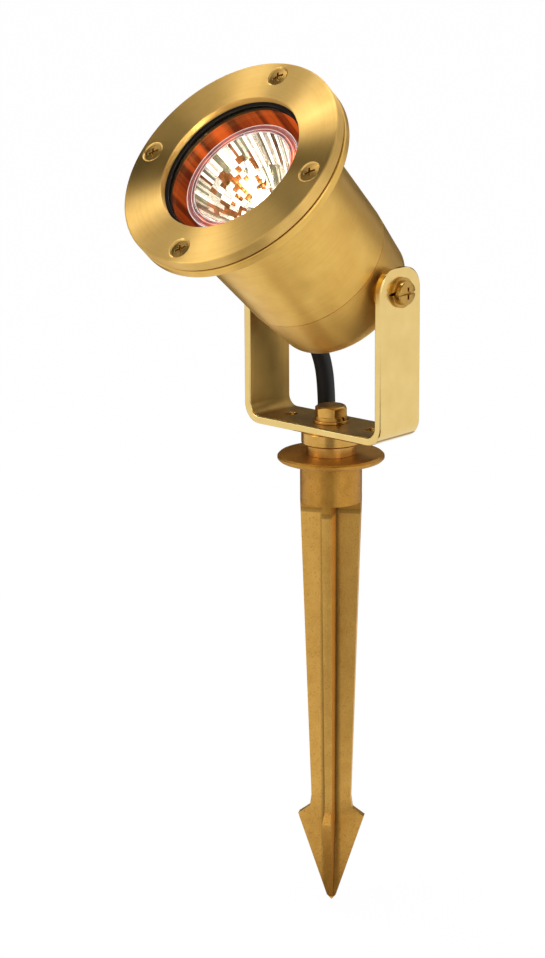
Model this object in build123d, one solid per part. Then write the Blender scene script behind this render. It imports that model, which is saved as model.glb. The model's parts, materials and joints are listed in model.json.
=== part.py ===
from build123d import *
import math
import os

# Garden spike spotlight: a turned brass lamp head that tilts in a U-shaped yoke, on a cast
# ground spike. Millimetres and degrees. +Z is up, +X is the tilt axis, -Y is the way the lamp
# faces. The origin is on the spike's axis, at ground level: the underside of the spike's disc.

# ---- driving dimensions: ground spike (sand cast) ----
DISC_R = 22.2            # ground disc
DISC_T = 2.5
DISC_EDGE = 0.8          # edge break of the disc
BOSS_R = 12.85           # round boss under the disc, with a flat where each rib runs into it
BOSS_LEN = 17.5
RIB_ANGLE = 32.1         # turn of the four ribs about the spike's axis
RIB_TOP_TIP_W = 3.9      # rib width at its outer face, at the boss
RIB_TOP_ROOT_W = 5.6     # rib width where it meets the next rib
SHAFT_LEN = 130.0        # tapering shaft, from the boss to the barbs
SHAFT_END_R = 8.4
RIB_END_TIP_W = 3.0
RIB_END_ROOT_W = 4.4
BARB_R = 14.1            # reach of the four barbs
BARB_NECK_R = 9.1
BARB_NECK_LEN = 4.9      # flare from the shaft to the barbs' upper edge
BARB_DROP = 3.7          # slope of the upper edge
BARB_TIP_W = 3.7
HEAD_LEN = 36.8          # arrow head, from the barbs to the blunt end
BLUNT_R = 1.9
BLUNT_TIP_W = 2.2
BLUNT_ROOT_W = 2.4
POINT_LEN = 2.6

# ---- stem bolt and its washers ----
BOLT_R = 4.0
BOLT_HEAD_AF = 12.2
BOLT_HEAD_H = 4.3
BOLT_HEAD_CHAMFER = 0.9
BOLT_CORNER_TRIM = 0.25  # off the hexagon's corners
BOLT_FACE_INSET = 0.4    # flat of the head inside the hexagon
BOLT_HEAD_TURN = 21.5
BOLT_THREAD_IN = 14.0    # thread below the yoke
BOLT_HOLE_OVER = 1.0     # tapped hole beyond the end of the bolt
FLAT_WASHER_RIM = 3.5    # washer's outside beyond the bolt
FLAT_WASHER_T = 1.2
SPRING_WASHER_RIM = 2.7
SPRING_WASHER_T = 1.4
SPRING_WASHER_TURN = 2.0
WASHER_SLIT = 1.1
WASHER_SLIT_SLANT = 25.0

# ---- stem adaptor (turned) ----
ADAPTOR_FLANGE_R = 12.3
ADAPTOR_FLANGE_T = 5.5
ADAPTOR_NECK_R = 10.2
ADAPTOR_NECK_T = 4.5
ADAPTOR_EDGE = 0.5
SPIGOT_WALL = 4.0        # spigot in the boss, round the bolt
SPIGOT_LEN = 13.0
SPIGOT_END_GAP = 0.5

# ---- lamp: 50 mm reflector with two pins ----
LAMP_R = 25.35
LAMP_BEHIND_GASKET = 3.3
LAMP_RIM_T = 2.4
LAMP_RIM_W = 2.6
LAMP_RIM_STEP = 0.4
LAMP_BOWL_DEPTH = 23.5
LAMP_BOWL_STEPS = 5      # conical bands of the bowl
LAMP_BOWL_POWER = 2.2    # fullness of the bowl's curve
LAMP_NECK_R = 6.4
LAMP_GLASS_T = 1.7
LAMP_LENGTH = 38.0       # rim to the end of the base
LAMP_BASE_X = 15.0
LAMP_BASE_Y = 9.4
LAMP_BASE_CORNER_R = 1.2
CAPSULE_R = 4.3
CAPSULE_LEN = 17.0
CAPSULE_SEAT = 5.0       # let into the base
CAPSULE_NOSE = 3.2
CAPSULE_NOSE_R = 1.6
PIN_R = 0.75
PIN_SPACING = 5.33
PIN_LEN = 7.0
PIN_SEAT = 3.0
HOLDER_X = 21.0
HOLDER_Y = 10.0
HOLDER_LEN = 8.65
HOLDER_CORNER_R = 1.5
BRACKET_T = 1.0
BRACKET_WIDTH = 14.0
HOLDER_SCREW_R = 1.5
HOLDER_SCREW_SPACING = 15.0
HOLDER_SCREW_LEN = 6.0
HOLDER_SCREW_HEAD_R = 3.0
HOLDER_SCREW_HEAD_H = 2.0
LEAD_R = 1.1
LEAD_HOLE_R = 1.6
LEAD_START_X = 3.2       # lead holes in the bracket, either side of the middle
LEAD_START_RUN = 7.0     # straight runs at the leads' ends
LEAD_END_RUN = 6.0

# ---- lamp head: depths are behind the bezel's front face, along the head's axis ----
HEAD_TILT = 43.0         # nose above the horizontal, at rest
GLASS_OVER_LAMP = 9.65   # front glass outside the lamp's rim
GLASS_T = 3.0
GLASS_EDGE = 0.3
GASKET_RIM_T = 2.0       # rubber outside the glass
GASKET_LIP = 5.25        # rubber over the face of the glass
GASKET_DEPTH = 5.0
BEZEL_COVER = 4.0        # bezel over the edge of the glass
BEZEL_T = 5.5
BEZEL_LIP_T = 3.3        # wall round the hole, in front of the gasket
BEZEL_EDGE = 0.5
BEZEL_SCREW_COUNT = 4
BEZEL_SCREW_OUT = 4.4    # screws outside the gasket
BEZEL_RIM = 6.6          # bezel outside the screws
BEZEL_GAP = 0.6          # shadow line between the bezel and the barrel's flange
FLANGE_T = 3.9
FLANGE_ROOT = 0.9        # cone where the barrel meets the flange
BARREL_INSIDE_SCREWS = 6.9
BARREL_TAPER = 2.4       # off the radius, from the flange to the seam
BARREL_WALL = 3.1
SPIGOT_RING_LEN = 8.0    # rear housing's register inside the barrel
SPIGOT_RING_WALL = 3.0
REGISTER_STEP = 0.7      # step in the bore that the lampholder bracket seats on
ORING_SECTION_R = 0.8
ORING_FACETS = 6
REAR_LEN = 24.0          # seam to the back of the rear housing
REAR_TAPER = 2.6
REAR_EDGE = 1.2          # rounding of the back rim
REAR_EDGE_MID = 0.35
REAR_WALL = 3.0

# ---- pivots ----
PIVOT_BEHIND_SEAM = 14.4
PIVOT_SCREW_R = 2.5
PIVOT_HEAD_R = 4.9
PIVOT_HEAD_H = 2.6
PIVOT_HEAD_ROUND = 0.9
PIVOT_HEAD_MID = 0.28
PIVOT_SLOT_W = 1.1
PIVOT_SLOT_DEPTH = 1.0
PIVOT_CROSS_DEPTH = 1.4
PIVOT_THREAD_IN = 8.5    # thread inside the boss
PIVOT_HOLE_OVER = 0.5
PIVOT_BOSS_RIM = 6.0     # boss outside the screw
PIVOT_BOSS_LEN = 10.55
LOCK_WASHER_RIM = 3.7
LOCK_WASHER_T = 1.3
LOCK_WASHER_TURN = -90.0
SPACER_RIM = 4.5
SPACER_T = 1.1

# ---- screws of the bezel ----
SCREW_M4_R = 2.0
CSK_HEAD_R = 4.0
CSK_SINK = 0.5           # mouth of the countersink beyond the screw's head
CSK_CROWN = 0.4          # rise of the slightly raised head
CSK_END_IN = 0.8         # screw's end inside the flange's back face
CROSS_ARM = 4.6
CROSS_W = 0.9
CROSS_DEPTH = 1.5
CROSS_TURN = 35.0

# ---- yoke (bent strip) ----
YOKE_T = 3.4
YOKE_WIDTH = 24.8
YOKE_BEND_R = 8.0        # outside of the bends
YOKE_ARM_CORNER_R = 9.0
YOKE_ARM_OVER = 9.8      # arm above the tilt axis
YOKE_EDGE = 0.5          # edge break of the strip
BASE_HOLE_R = 2.65       # two screw holes in the base of the yoke
BASE_HOLE_SPACING = 44.0
PIVOT_HEIGHT = 62.0      # tilt axis above the underside of the yoke

# ---- cable and gland ----
CABLE_R = 3.75
GLAND_RIM = 1.1          # rear face outside the gland's collar
GLAND_TURN = 35.8        # gland below the head's -X side, round the head's axis
GLAND_THREAD_WALL = 1.05
GLAND_COLLAR_WALL = 2.45
GLAND_COLLAR_T = 3.5
GLAND_SPOUT_WALL = 1.35
GLAND_SPOUT_LEN = 3.0
GLAND_NUT_LEN = 6.5
GLAND_NUT_GAP = 0.3
GLAND_NUT_LIP = 2.0
GLAND_NUT_CHAMFER = 1.0
CABLE_LEAVE = 4.5        # straight run of the route outside the gland
CABLE_INSIDE = 4.0       # sheath inside the housing, past the rear wall
BEND_SHARE = 0.45        # share of a run that a bend at either end may take
CORE_R = 1.3
CORE_SPACING = 3.2
CORE_LEN = 20.0
STRAND_R = 0.75
STRAND_LEN = 7.0

# ---- clearances ----
RUNNING_FIT = 0.08       # radial, where one piece turns in another
THREAD_FIT = 0.05        # radial, screw in its tapped hole and register in its bore
HOLE_CLEARANCE = 0.35    # radial, screw in a plain hole
FACE_GAP = 0.05          # between pieces that turn against each other
ARM_CLEARANCE = 1.6      # barrel to the yoke's arms
SEAL_FIT = 0.05
CEMENT_GAP = 0.02        # pins in their cemented seats
PIN_CLEARANCE = 0.1      # pins in the lampholder's sockets
PIN_END_GAP = 0.4
SEAT_GAP = 0.02          # under the heads of the bezel's screws

# Free route of the cable after the gland: chosen by hand. It leaves the gland along its axis,
# turns down behind the yoke's base and hangs straight behind the spike.
CABLE_ROUTE = [
    (-18.2, 13.6, 41.2),
    (-18.2, 16.5, 33.2),
    (-18.4, 18.0, 23.6),
    (-18.8, 18.9, 10.4),
    (-19.1, 19.2, -6.0),
    (-18.7, 19.1, -34.0),
    (-17.9, 18.6, -64.0),
    (-17.2, 17.9, -95.0),
    (-17.0, 17.3, -122.0),
    (-17.1, 17.0, -146.0),
]

# ---- sizes and places that follow ----
SPIGOT_R = BOLT_R + SPIGOT_WALL
FLAT_WASHER_R = BOLT_R + FLAT_WASHER_RIM
SPRING_WASHER_R = BOLT_R + SPRING_WASHER_RIM
ADAPTOR_TOP = DISC_T + ADAPTOR_NECK_T + ADAPTOR_FLANGE_T
YOKE_BOTTOM = ADAPTOR_TOP
YOKE_FLOOR = YOKE_BOTTOM + YOKE_T
PIVOT_Z = YOKE_BOTTOM + PIVOT_HEIGHT
FLAT_WASHER_TOP = YOKE_FLOOR + FLAT_WASHER_T
SPRING_WASHER_TOP = FLAT_WASHER_TOP + SPRING_WASHER_T

GLASS_R = LAMP_R + GLASS_OVER_LAMP
GASKET_R = GLASS_R + GASKET_RIM_T
GASKET_INNER_R = GLASS_R - GASKET_LIP
GASKET_FRONT = BEZEL_LIP_T
GASKET_BACK = GASKET_FRONT + GASKET_DEPTH
GLASS_FRONT = GASKET_FRONT + (GASKET_DEPTH - GLASS_T) / 2
BEZEL_HOLE_R = GLASS_R - BEZEL_COVER
BEZEL_SCREW_PITCH_R = GASKET_R + BEZEL_SCREW_OUT
BEZEL_R = BEZEL_SCREW_PITCH_R + BEZEL_RIM
CSK_MOUTH_R = CSK_HEAD_R + CSK_SINK
FLANGE_FRONT = BEZEL_T + BEZEL_GAP
FLANGE_BACK = FLANGE_FRONT + FLANGE_T
BARREL_FRONT_R = BEZEL_SCREW_PITCH_R - BARREL_INSIDE_SCREWS
BARREL_REAR_R = BARREL_FRONT_R - BARREL_TAPER
BORE_FRONT_R = BARREL_FRONT_R - BARREL_WALL
REAR_R = BARREL_REAR_R - REAR_TAPER
LAMP_DEPTH = GASKET_BACK + LAMP_BEHIND_GASKET
LAMP_END = LAMP_DEPTH + LAMP_LENGTH
HOLDER_FRONT = LAMP_END + FACE_GAP
BRACKET_FRONT = HOLDER_FRONT + HOLDER_LEN
REGISTER_DEPTH = BRACKET_FRONT + BRACKET_T
SEAM_DEPTH = REGISTER_DEPTH + SPIGOT_RING_LEN
REAR_DEPTH = SEAM_DEPTH + REAR_LEN
FRONT_TO_PIVOT = SEAM_DEPTH + PIVOT_BEHIND_SEAM

YOKE_HALF_SPAN = BARREL_REAR_R + ARM_CLEARANCE + YOKE_T
ARM_INSIDE = YOKE_HALF_SPAN - YOKE_T
BOSS_FACE = ARM_INSIDE - SPACER_T - FACE_GAP
PIVOT_BOSS_R = PIVOT_SCREW_R + PIVOT_BOSS_RIM
LOCK_WASHER_R = PIVOT_SCREW_R + LOCK_WASHER_RIM
SPACER_R = PIVOT_SCREW_R + SPACER_RIM
GLAND_THREAD_R = CABLE_R + GLAND_THREAD_WALL
GLAND_COLLAR_R = CABLE_R + GLAND_COLLAR_WALL
GLAND_SPOUT_R = CABLE_R + GLAND_SPOUT_WALL
GLAND_END = REAR_DEPTH + GLAND_COLLAR_T + GLAND_NUT_GAP + GLAND_NUT_LEN
GLAND_OUT = REAR_R - GLAND_COLLAR_R - GLAND_RIM
GLAND_X = -GLAND_OUT * math.cos(math.radians(GLAND_TURN))
GLAND_UP = -GLAND_OUT * math.sin(math.radians(GLAND_TURN))

BOTTOM = (Align.CENTER, Align.CENTER, Align.MIN)
TOP = (Align.CENTER, Align.CENTER, Align.MAX)

HEAD_PLANE = Plane(
    origin=(0, 0, PIVOT_Z),
    x_dir=(1, 0, 0),
    z_dir=(0, -math.cos(math.radians(HEAD_TILT)), math.sin(math.radians(HEAD_TILT))),
)


def turned(points):
    """Solid of revolution about Z from a closed outline of (radius, height) points."""
    outline = Polyline(*[(r, 0, z) for r, z in points], close=True)
    return revolve(make_face(outline), Axis.Z)


def ring(outer_r, inner_r, low, high):
    """Plain round ring between two heights."""
    body = Pos(0, 0, low) * Cylinder(outer_r, high - low, align=BOTTOM)
    return body - Pos(0, 0, low) * Cylinder(inner_r, high - low, align=BOTTOM)


def rod(radius, low, high):
    """Round bar between two heights."""
    return Pos(0, 0, low) * Cylinder(radius, high - low, align=BOTTOM)


def at_depth(depth):
    """Height in the head's own frame of a depth behind the bezel's front face."""
    return FRONT_TO_PIVOT - depth


def turned_head(points):
    """Solid of revolution about the head's axis from (radius, depth) points."""
    return turned([(r, at_depth(depth)) for r, depth in points])


def on_head(piece):
    """Place a piece, built in the head's own frame, on the tilted head."""
    return HEAD_PLANE.location * piece


def both_sides(piece):
    """The piece and its mirror image across the middle of the lamp, as separate solids."""
    return Compound(children=[Part(piece.wrapped), Part(mirror(piece, Plane.YZ).wrapped)])


def split_ring(outer_r, inner_r, low, high, slit_angle):
    """Spring washer: a ring with one narrow slanted slit."""
    slit = Box(outer_r, WASHER_SLIT, 3 * (high - low), align=(Align.MIN, Align.CENTER, Align.CENTER))
    slit = Pos(0, 0, (low + high) / 2) * Rot(WASHER_SLIT_SLANT, 0, 0) * slit
    return ring(outer_r, inner_r, low, high) - Rot(0, 0, slit_angle) * slit


# ---- ground spike and stem ----


def rib_section(height, reach, tip_width, root_width):
    """Four-ribbed section of the spike: ribs that taper from their root to their outer face."""
    tip = tip_width / 2
    root = root_width / 2
    points = []
    for quarter in range(4):
        turn = math.radians(RIB_ANGLE + 90 * quarter)
        for x, y in [(reach, -tip), (reach, tip), (root, root)]:
            across = x * math.cos(turn) - y * math.sin(turn)
            along = x * math.sin(turn) + y * math.cos(turn)
            points.append((across, along, height))
    return make_face(Polyline(*points, close=True))


def ground_spike():
    shaft_end = -BOSS_LEN - SHAFT_LEN
    neck = shaft_end - BARB_NECK_LEN
    barbs = neck - BARB_DROP
    blunt = barbs - HEAD_LEN
    flat = math.sqrt(BOSS_R**2 - (RIB_TOP_TIP_W / 2) ** 2)
    sections = [
        rib_section(-BOSS_LEN, flat, RIB_TOP_TIP_W, RIB_TOP_ROOT_W),
        rib_section(shaft_end, SHAFT_END_R, RIB_END_TIP_W, RIB_END_ROOT_W),
        rib_section(neck, BARB_NECK_R, RIB_END_TIP_W, RIB_END_ROOT_W),
        rib_section(barbs, BARB_R, BARB_TIP_W, RIB_END_ROOT_W),
        rib_section(blunt, BLUNT_R, BLUNT_TIP_W, BLUNT_ROOT_W),
    ]
    shaft = loft(sections, ruled=True)
    point = loft([sections[-1], Vertex(0, 0, blunt - POINT_LEN)], ruled=True)
    boss = rod(BOSS_R, -BOSS_LEN, 0) & Rot(0, 0, RIB_ANGLE) * Box(2 * flat, 2 * flat, 2 * BOSS_LEN)
    disc = rod(DISC_R, 0, DISC_T)
    disc = chamfer(disc.edges().filter_by(GeomType.CIRCLE), DISC_EDGE)
    socket = rod(SPIGOT_R + THREAD_FIT, DISC_T - SPIGOT_LEN - SPIGOT_END_GAP, DISC_T)
    return disc + boss + shaft + point - socket


def stem_adaptor():
    neck_top = DISC_T + ADAPTOR_NECK_T
    body = turned([
        (0, DISC_T - SPIGOT_LEN),
        (SPIGOT_R - ADAPTOR_EDGE, DISC_T - SPIGOT_LEN),
        (SPIGOT_R, DISC_T - SPIGOT_LEN + ADAPTOR_EDGE),
        (SPIGOT_R, DISC_T),
        (ADAPTOR_NECK_R, DISC_T),
        (ADAPTOR_NECK_R, neck_top),
        (ADAPTOR_FLANGE_R - ADAPTOR_EDGE, neck_top),
        (ADAPTOR_FLANGE_R, neck_top + ADAPTOR_EDGE),
        (ADAPTOR_FLANGE_R, ADAPTOR_TOP - ADAPTOR_EDGE),
        (ADAPTOR_FLANGE_R - ADAPTOR_EDGE, ADAPTOR_TOP),
        (0, ADAPTOR_TOP),
    ])
    hole_end = ADAPTOR_TOP - BOLT_THREAD_IN - BOLT_HOLE_OVER
    return body - rod(BOLT_R + THREAD_FIT, hole_end, ADAPTOR_TOP)


def stem_bolt():
    head_low = SPRING_WASHER_TOP
    head_high = head_low + BOLT_HEAD_H
    hexagon = RegularPolygon(BOLT_HEAD_AF / 2, 6, major_radius=False, rotation=BOLT_HEAD_TURN)
    head = Pos(0, 0, head_low) * extrude(hexagon, amount=BOLT_HEAD_H)
    corner_r = BOLT_HEAD_AF / 2 / math.cos(math.radians(30)) - BOLT_CORNER_TRIM
    rounding = turned([
        (0, head_low),
        (corner_r, head_low),
        (corner_r, head_high - BOLT_HEAD_CHAMFER),
        (BOLT_HEAD_AF / 2 - BOLT_FACE_INSET, head_high),
        (0, head_high),
    ])
    shank = rod(BOLT_R, ADAPTOR_TOP - BOLT_THREAD_IN, head_low)
    return (head & rounding) + shank


def bolt_flat_washer():
    return ring(FLAT_WASHER_R, BOLT_R + HOLE_CLEARANCE, YOKE_FLOOR + FACE_GAP, FLAT_WASHER_TOP)


def bolt_spring_washer():
    inner_r = BOLT_R + HOLE_CLEARANCE
    return split_ring(SPRING_WASHER_R, inner_r, FLAT_WASHER_TOP, SPRING_WASHER_TOP, SPRING_WASHER_TURN)


# ---- yoke ----


def yoke_bracket():
    arm_top = PIVOT_Z + YOKE_ARM_OVER
    height = arm_top - YOKE_BOTTOM
    outside = Pos(0, 0, YOKE_BOTTOM) * Box(2 * YOKE_HALF_SPAN, YOKE_WIDTH, height, align=BOTTOM)
    bends = outside.edges().filter_by(Axis.Y).group_by(Axis.Z)[0]
    outside = fillet(bends, YOKE_BEND_R)
    inside = Pos(0, 0, YOKE_FLOOR) * Box(2 * ARM_INSIDE, 2 * YOKE_WIDTH, height, align=BOTTOM)
    bends = inside.edges().filter_by(Axis.Y).group_by(Axis.Z)[0]
    inside = fillet(bends, YOKE_BEND_R - YOKE_T)
    strip = outside - inside
    corners = strip.edges().filter_by(Axis.X).group_by(Axis.Z)[-1]
    strip = fillet(corners, YOKE_ARM_CORNER_R)
    strip = chamfer(strip.faces().filter_by(Axis.Y).edges(), YOKE_EDGE)
    strip -= rod(BOLT_R + RUNNING_FIT, YOKE_BOTTOM, YOKE_FLOOR)
    for side in (-1, 1):
        place = Pos(side * BASE_HOLE_SPACING / 2, 0, 0)
        strip -= place * rod(BASE_HOLE_R, YOKE_BOTTOM, YOKE_FLOOR)
    across = Rot(0, 90, 0) * Cylinder(PIVOT_SCREW_R + RUNNING_FIT, 3 * YOKE_HALF_SPAN)
    return strip - Pos(0, 0, PIVOT_Z) * across


# ---- lamp head: housing ----


def barrel_r(depth):
    """Outside radius of the tapering barrel at a depth."""
    share = (depth - FLANGE_BACK) / (SEAM_DEPTH - FLANGE_BACK)
    return BARREL_FRONT_R + (BARREL_REAR_R - BARREL_FRONT_R) * share


def rear_r(depth):
    """Outside radius of the rear housing at a depth."""
    share = (depth - SEAM_DEPTH) / (REAR_DEPTH - SEAM_DEPTH)
    return BARREL_REAR_R + (REAR_R - BARREL_REAR_R) * share


REGISTER_R = barrel_r(BRACKET_FRONT) - BARREL_WALL + REGISTER_STEP


def bezel_screw_places():
    """Turns about the head's axis of the screws that hold the bezel."""
    return [360 / BEZEL_SCREW_COUNT * k for k in range(BEZEL_SCREW_COUNT)]


def bezel_ring():
    body = turned_head([
        (BEZEL_HOLE_R, 0),
        (BEZEL_R, 0),
        (BEZEL_R, BEZEL_T),
        (GASKET_R + SEAL_FIT, BEZEL_T),
        (GASKET_R + SEAL_FIT, BEZEL_LIP_T),
        (BEZEL_HOLE_R, BEZEL_LIP_T),
    ])
    rims = body.edges().filter_by(GeomType.CIRCLE)
    body = chamfer(rims.filter_by(lambda edge: edge.radius > BEZEL_R - 0.01), BEZEL_EDGE)
    cut_depth = CSK_MOUTH_R - SCREW_M4_R - HOLE_CLEARANCE
    hole_r = SCREW_M4_R + HOLE_CLEARANCE
    mouth = turned_head([(0, 0), (CSK_MOUTH_R, 0), (hole_r, cut_depth), (hole_r, BEZEL_T), (0, BEZEL_T)])
    for turn in bezel_screw_places():
        body -= Rot(0, 0, turn) * Pos(BEZEL_SCREW_PITCH_R, 0, 0) * mouth
    return on_head(body)


def bezel_screws():
    sunk = CSK_MOUTH_R - CSK_HEAD_R - SEAT_GAP
    under = sunk + CSK_HEAD_R - SCREW_M4_R
    end = FLANGE_BACK - CSK_END_IN
    screw = turned_head([
        (0, sunk - CSK_CROWN),
        (CSK_HEAD_R, sunk),
        (SCREW_M4_R, under),
        (SCREW_M4_R, end),
        (0, end),
    ])
    arm = Pos(0, 0, at_depth(sunk - CSK_CROWN)) * Box(CROSS_ARM, CROSS_W, CROSS_DEPTH, align=TOP)
    screw -= arm + Rot(0, 0, 90) * arm
    turns = bezel_screw_places()
    offset = Pos(BEZEL_SCREW_PITCH_R, 0, 0)
    screws = [on_head(Rot(0, 0, turn) * offset * Rot(0, 0, CROSS_TURN) * screw) for turn in turns]
    return Compound(children=[Part(one.wrapped) for one in screws])


def lens_gasket():
    """Channel-section seal round the edge of the lens."""
    front = GLASS_FRONT - SEAL_FIT
    back = GLASS_FRONT + GLASS_T + SEAL_FIT
    return on_head(turned_head([
        (GASKET_INNER_R, GASKET_FRONT),
        (GASKET_R, GASKET_FRONT),
        (GASKET_R, GASKET_BACK),
        (GASKET_INNER_R, GASKET_BACK),
        (GASKET_INNER_R, back),
        (GLASS_R + SEAL_FIT, back),
        (GLASS_R + SEAL_FIT, front),
        (GASKET_INNER_R, front),
    ]))


def lens_glass():
    disc = Pos(0, 0, at_depth(GLASS_FRONT + GLASS_T)) * Cylinder(GLASS_R, GLASS_T, align=BOTTOM)
    return on_head(chamfer(disc.edges(), GLASS_EDGE))


def barrel():
    bore_end_r = barrel_r(BRACKET_FRONT) - BARREL_WALL
    body = turned_head([
        (BEZEL_R, FLANGE_FRONT),
        (BEZEL_R, FLANGE_BACK),
        (barrel_r(FLANGE_BACK) + FLANGE_ROOT, FLANGE_BACK),
        (barrel_r(FLANGE_BACK + FLANGE_ROOT), FLANGE_BACK + FLANGE_ROOT),
        (BARREL_REAR_R, SEAM_DEPTH),
        (REGISTER_R, SEAM_DEPTH),
        (REGISTER_R, BRACKET_FRONT),
        (bore_end_r, BRACKET_FRONT),
        (BORE_FRONT_R, GASKET_BACK),
        (GASKET_R + SEAL_FIT, GASKET_BACK),
        (GASKET_R + SEAL_FIT, FLANGE_FRONT),
    ])
    rims = body.edges().filter_by(GeomType.CIRCLE)
    body = chamfer(rims.filter_by(lambda edge: edge.radius > BEZEL_R - 0.01), BEZEL_EDGE)
    tapped = rod(SCREW_M4_R + THREAD_FIT, at_depth(FLANGE_BACK), at_depth(FLANGE_FRONT))
    for turn in bezel_screw_places():
        body -= Rot(0, 0, turn) * Pos(BEZEL_SCREW_PITCH_R, 0, 0) * tapped
    return on_head(body)


def oring_places():
    """Radius and depth of the middle of the O-ring's section."""
    return REGISTER_R - ORING_SECTION_R, (REGISTER_DEPTH + SEAM_DEPTH) / 2


def rear_housing():
    spigot_r = REGISTER_R - THREAD_FIT
    inner_r = spigot_r - SPIGOT_RING_WALL
    groove_r, groove_depth = oring_places()
    groove_r -= ORING_SECTION_R + THREAD_FIT
    half = ORING_SECTION_R + THREAD_FIT
    back_inner = REAR_DEPTH - REAR_WALL
    body = turned_head([
        (inner_r, REGISTER_DEPTH),
        (spigot_r, REGISTER_DEPTH),
        (spigot_r, groove_depth - half),
        (groove_r, groove_depth - half),
        (groove_r, groove_depth + half),
        (spigot_r, groove_depth + half),
        (spigot_r, SEAM_DEPTH),
        (BARREL_REAR_R, SEAM_DEPTH),
        (rear_r(REAR_DEPTH - REAR_EDGE), REAR_DEPTH - REAR_EDGE),
        (REAR_R - REAR_EDGE_MID, REAR_DEPTH - REAR_EDGE_MID),
        (REAR_R - REAR_EDGE, REAR_DEPTH),
        (0, REAR_DEPTH),
        (0, back_inner),
        (inner_r, back_inner),
    ])
    hole_len = PIVOT_THREAD_IN + PIVOT_HOLE_OVER
    for side in (-1, 1):
        lay = Pos(side * BOSS_FACE, 0, 0) * Rot(0, side * 90, 0)
        body += lay * Cylinder(PIVOT_BOSS_R, PIVOT_BOSS_LEN, align=TOP)
        body -= lay * Cylinder(PIVOT_SCREW_R + THREAD_FIT, hole_len, align=TOP)
    wall_hole = rod(GLAND_THREAD_R + THREAD_FIT, at_depth(REAR_DEPTH), at_depth(back_inner))
    body -= Pos(GLAND_X, GLAND_UP, 0) * wall_hole
    return on_head(body)


def body_oring():
    radius, depth = oring_places()
    section = []
    for step in range(ORING_FACETS):
        turn = 2 * math.pi * (step + 0.5) / ORING_FACETS
        out = ORING_SECTION_R * math.cos(turn)
        section.append((radius + out, depth + ORING_SECTION_R * math.sin(turn)))
    return on_head(turned_head(section))


# ---- lamp head: pivots ----


def pivot_piece(piece):
    """Stand a piece, built along +Z from the middle of the head, on both ends of the tilt axis."""
    return both_sides(Pos(0, 0, PIVOT_Z) * Rot(0, 90, 0) * piece)


def pivot_screws():
    base = YOKE_HALF_SPAN + FACE_GAP + LOCK_WASHER_T
    top = base + PIVOT_HEAD_H
    head = turned([
        (0, base),
        (PIVOT_HEAD_R, base),
        (PIVOT_HEAD_R, top - PIVOT_HEAD_ROUND),
        (PIVOT_HEAD_R - PIVOT_HEAD_MID, top - PIVOT_HEAD_MID),
        (PIVOT_HEAD_R - PIVOT_HEAD_ROUND, top),
        (0, top),
    ])
    slot = Pos(0, 0, top) * Box(PIVOT_SLOT_W, 3 * PIVOT_HEAD_R, PIVOT_SLOT_DEPTH, align=TOP)
    cross = Pos(0, 0, top) * Box(PIVOT_HEAD_R, PIVOT_SLOT_W, PIVOT_CROSS_DEPTH, align=TOP)
    deep = Pos(0, 0, top) * Box(PIVOT_SLOT_W, PIVOT_HEAD_R, PIVOT_CROSS_DEPTH, align=TOP)
    head -= slot + cross + deep
    shank = rod(PIVOT_SCREW_R, BOSS_FACE - PIVOT_THREAD_IN, base)
    return pivot_piece(head + shank)


def pivot_lock_washers():
    low = YOKE_HALF_SPAN + FACE_GAP
    inner_r = PIVOT_SCREW_R + HOLE_CLEARANCE
    washer = split_ring(LOCK_WASHER_R, inner_r, low, low + LOCK_WASHER_T, LOCK_WASHER_TURN)
    return pivot_piece(washer)


def pivot_spacers():
    inner_r = PIVOT_SCREW_R + HOLE_CLEARANCE
    return pivot_piece(ring(SPACER_R, inner_r, BOSS_FACE, BOSS_FACE + SPACER_T))


# ---- lamp head: lamp and lampholder ----


def lamp_reflector():
    """Glass reflector bowl, in conical bands along its curve, with its thick front rim and its neck."""
    rim_back = LAMP_DEPTH + LAMP_RIM_T
    neck_depth = LAMP_DEPTH + LAMP_BOWL_DEPTH
    rim_inner = LAMP_R - LAMP_RIM_W

    def bowl(front_r, front_depth, neck_r):
        """Points of the bowl's curve from its mouth to its neck."""
        points = []
        for step in range(LAMP_BOWL_STEPS + 1):
            share = step / LAMP_BOWL_STEPS
            depth = front_depth + (neck_depth - front_depth) * (1 - (1 - share) ** LAMP_BOWL_POWER)
            points.append((front_r + (neck_r - front_r) * share, depth))
        return points

    inside = bowl(rim_inner, LAMP_DEPTH, LAMP_NECK_R)
    outside = bowl(rim_inner + LAMP_RIM_STEP, rim_back, LAMP_NECK_R + LAMP_GLASS_T)
    rim = [(LAMP_R, rim_back), (LAMP_R, LAMP_DEPTH)]
    return on_head(turned_head(inside + outside[::-1] + rim))


def lamp_base():
    """Cemented base behind the reflector, with the capsule's seat and the two pin holes."""
    low = at_depth(LAMP_END)
    length = LAMP_LENGTH - LAMP_BOWL_DEPTH
    outline = RectangleRounded(LAMP_BASE_X, LAMP_BASE_Y, LAMP_BASE_CORNER_R)
    block = Pos(0, 0, low) * extrude(outline, amount=length)
    block -= rod(CAPSULE_R + THREAD_FIT, low + length - CAPSULE_SEAT, low + length)
    for side in (-1, 1):
        block -= Pos(side * PIN_SPACING / 2, 0, 0) * rod(PIN_R + CEMENT_GAP, low, low + PIN_SEAT)
    return on_head(block)


def lamp_capsule():
    """Lamp capsule with its drawn-in nose, seated in the base."""
    seat_depth = LAMP_DEPTH + LAMP_BOWL_DEPTH + CAPSULE_SEAT
    nose_depth = seat_depth - CAPSULE_LEN
    return on_head(turned_head([
        (0, seat_depth),
        (CAPSULE_R, seat_depth),
        (CAPSULE_R, nose_depth + CAPSULE_NOSE),
        (CAPSULE_NOSE_R, nose_depth),
        (0, nose_depth),
    ]))


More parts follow.
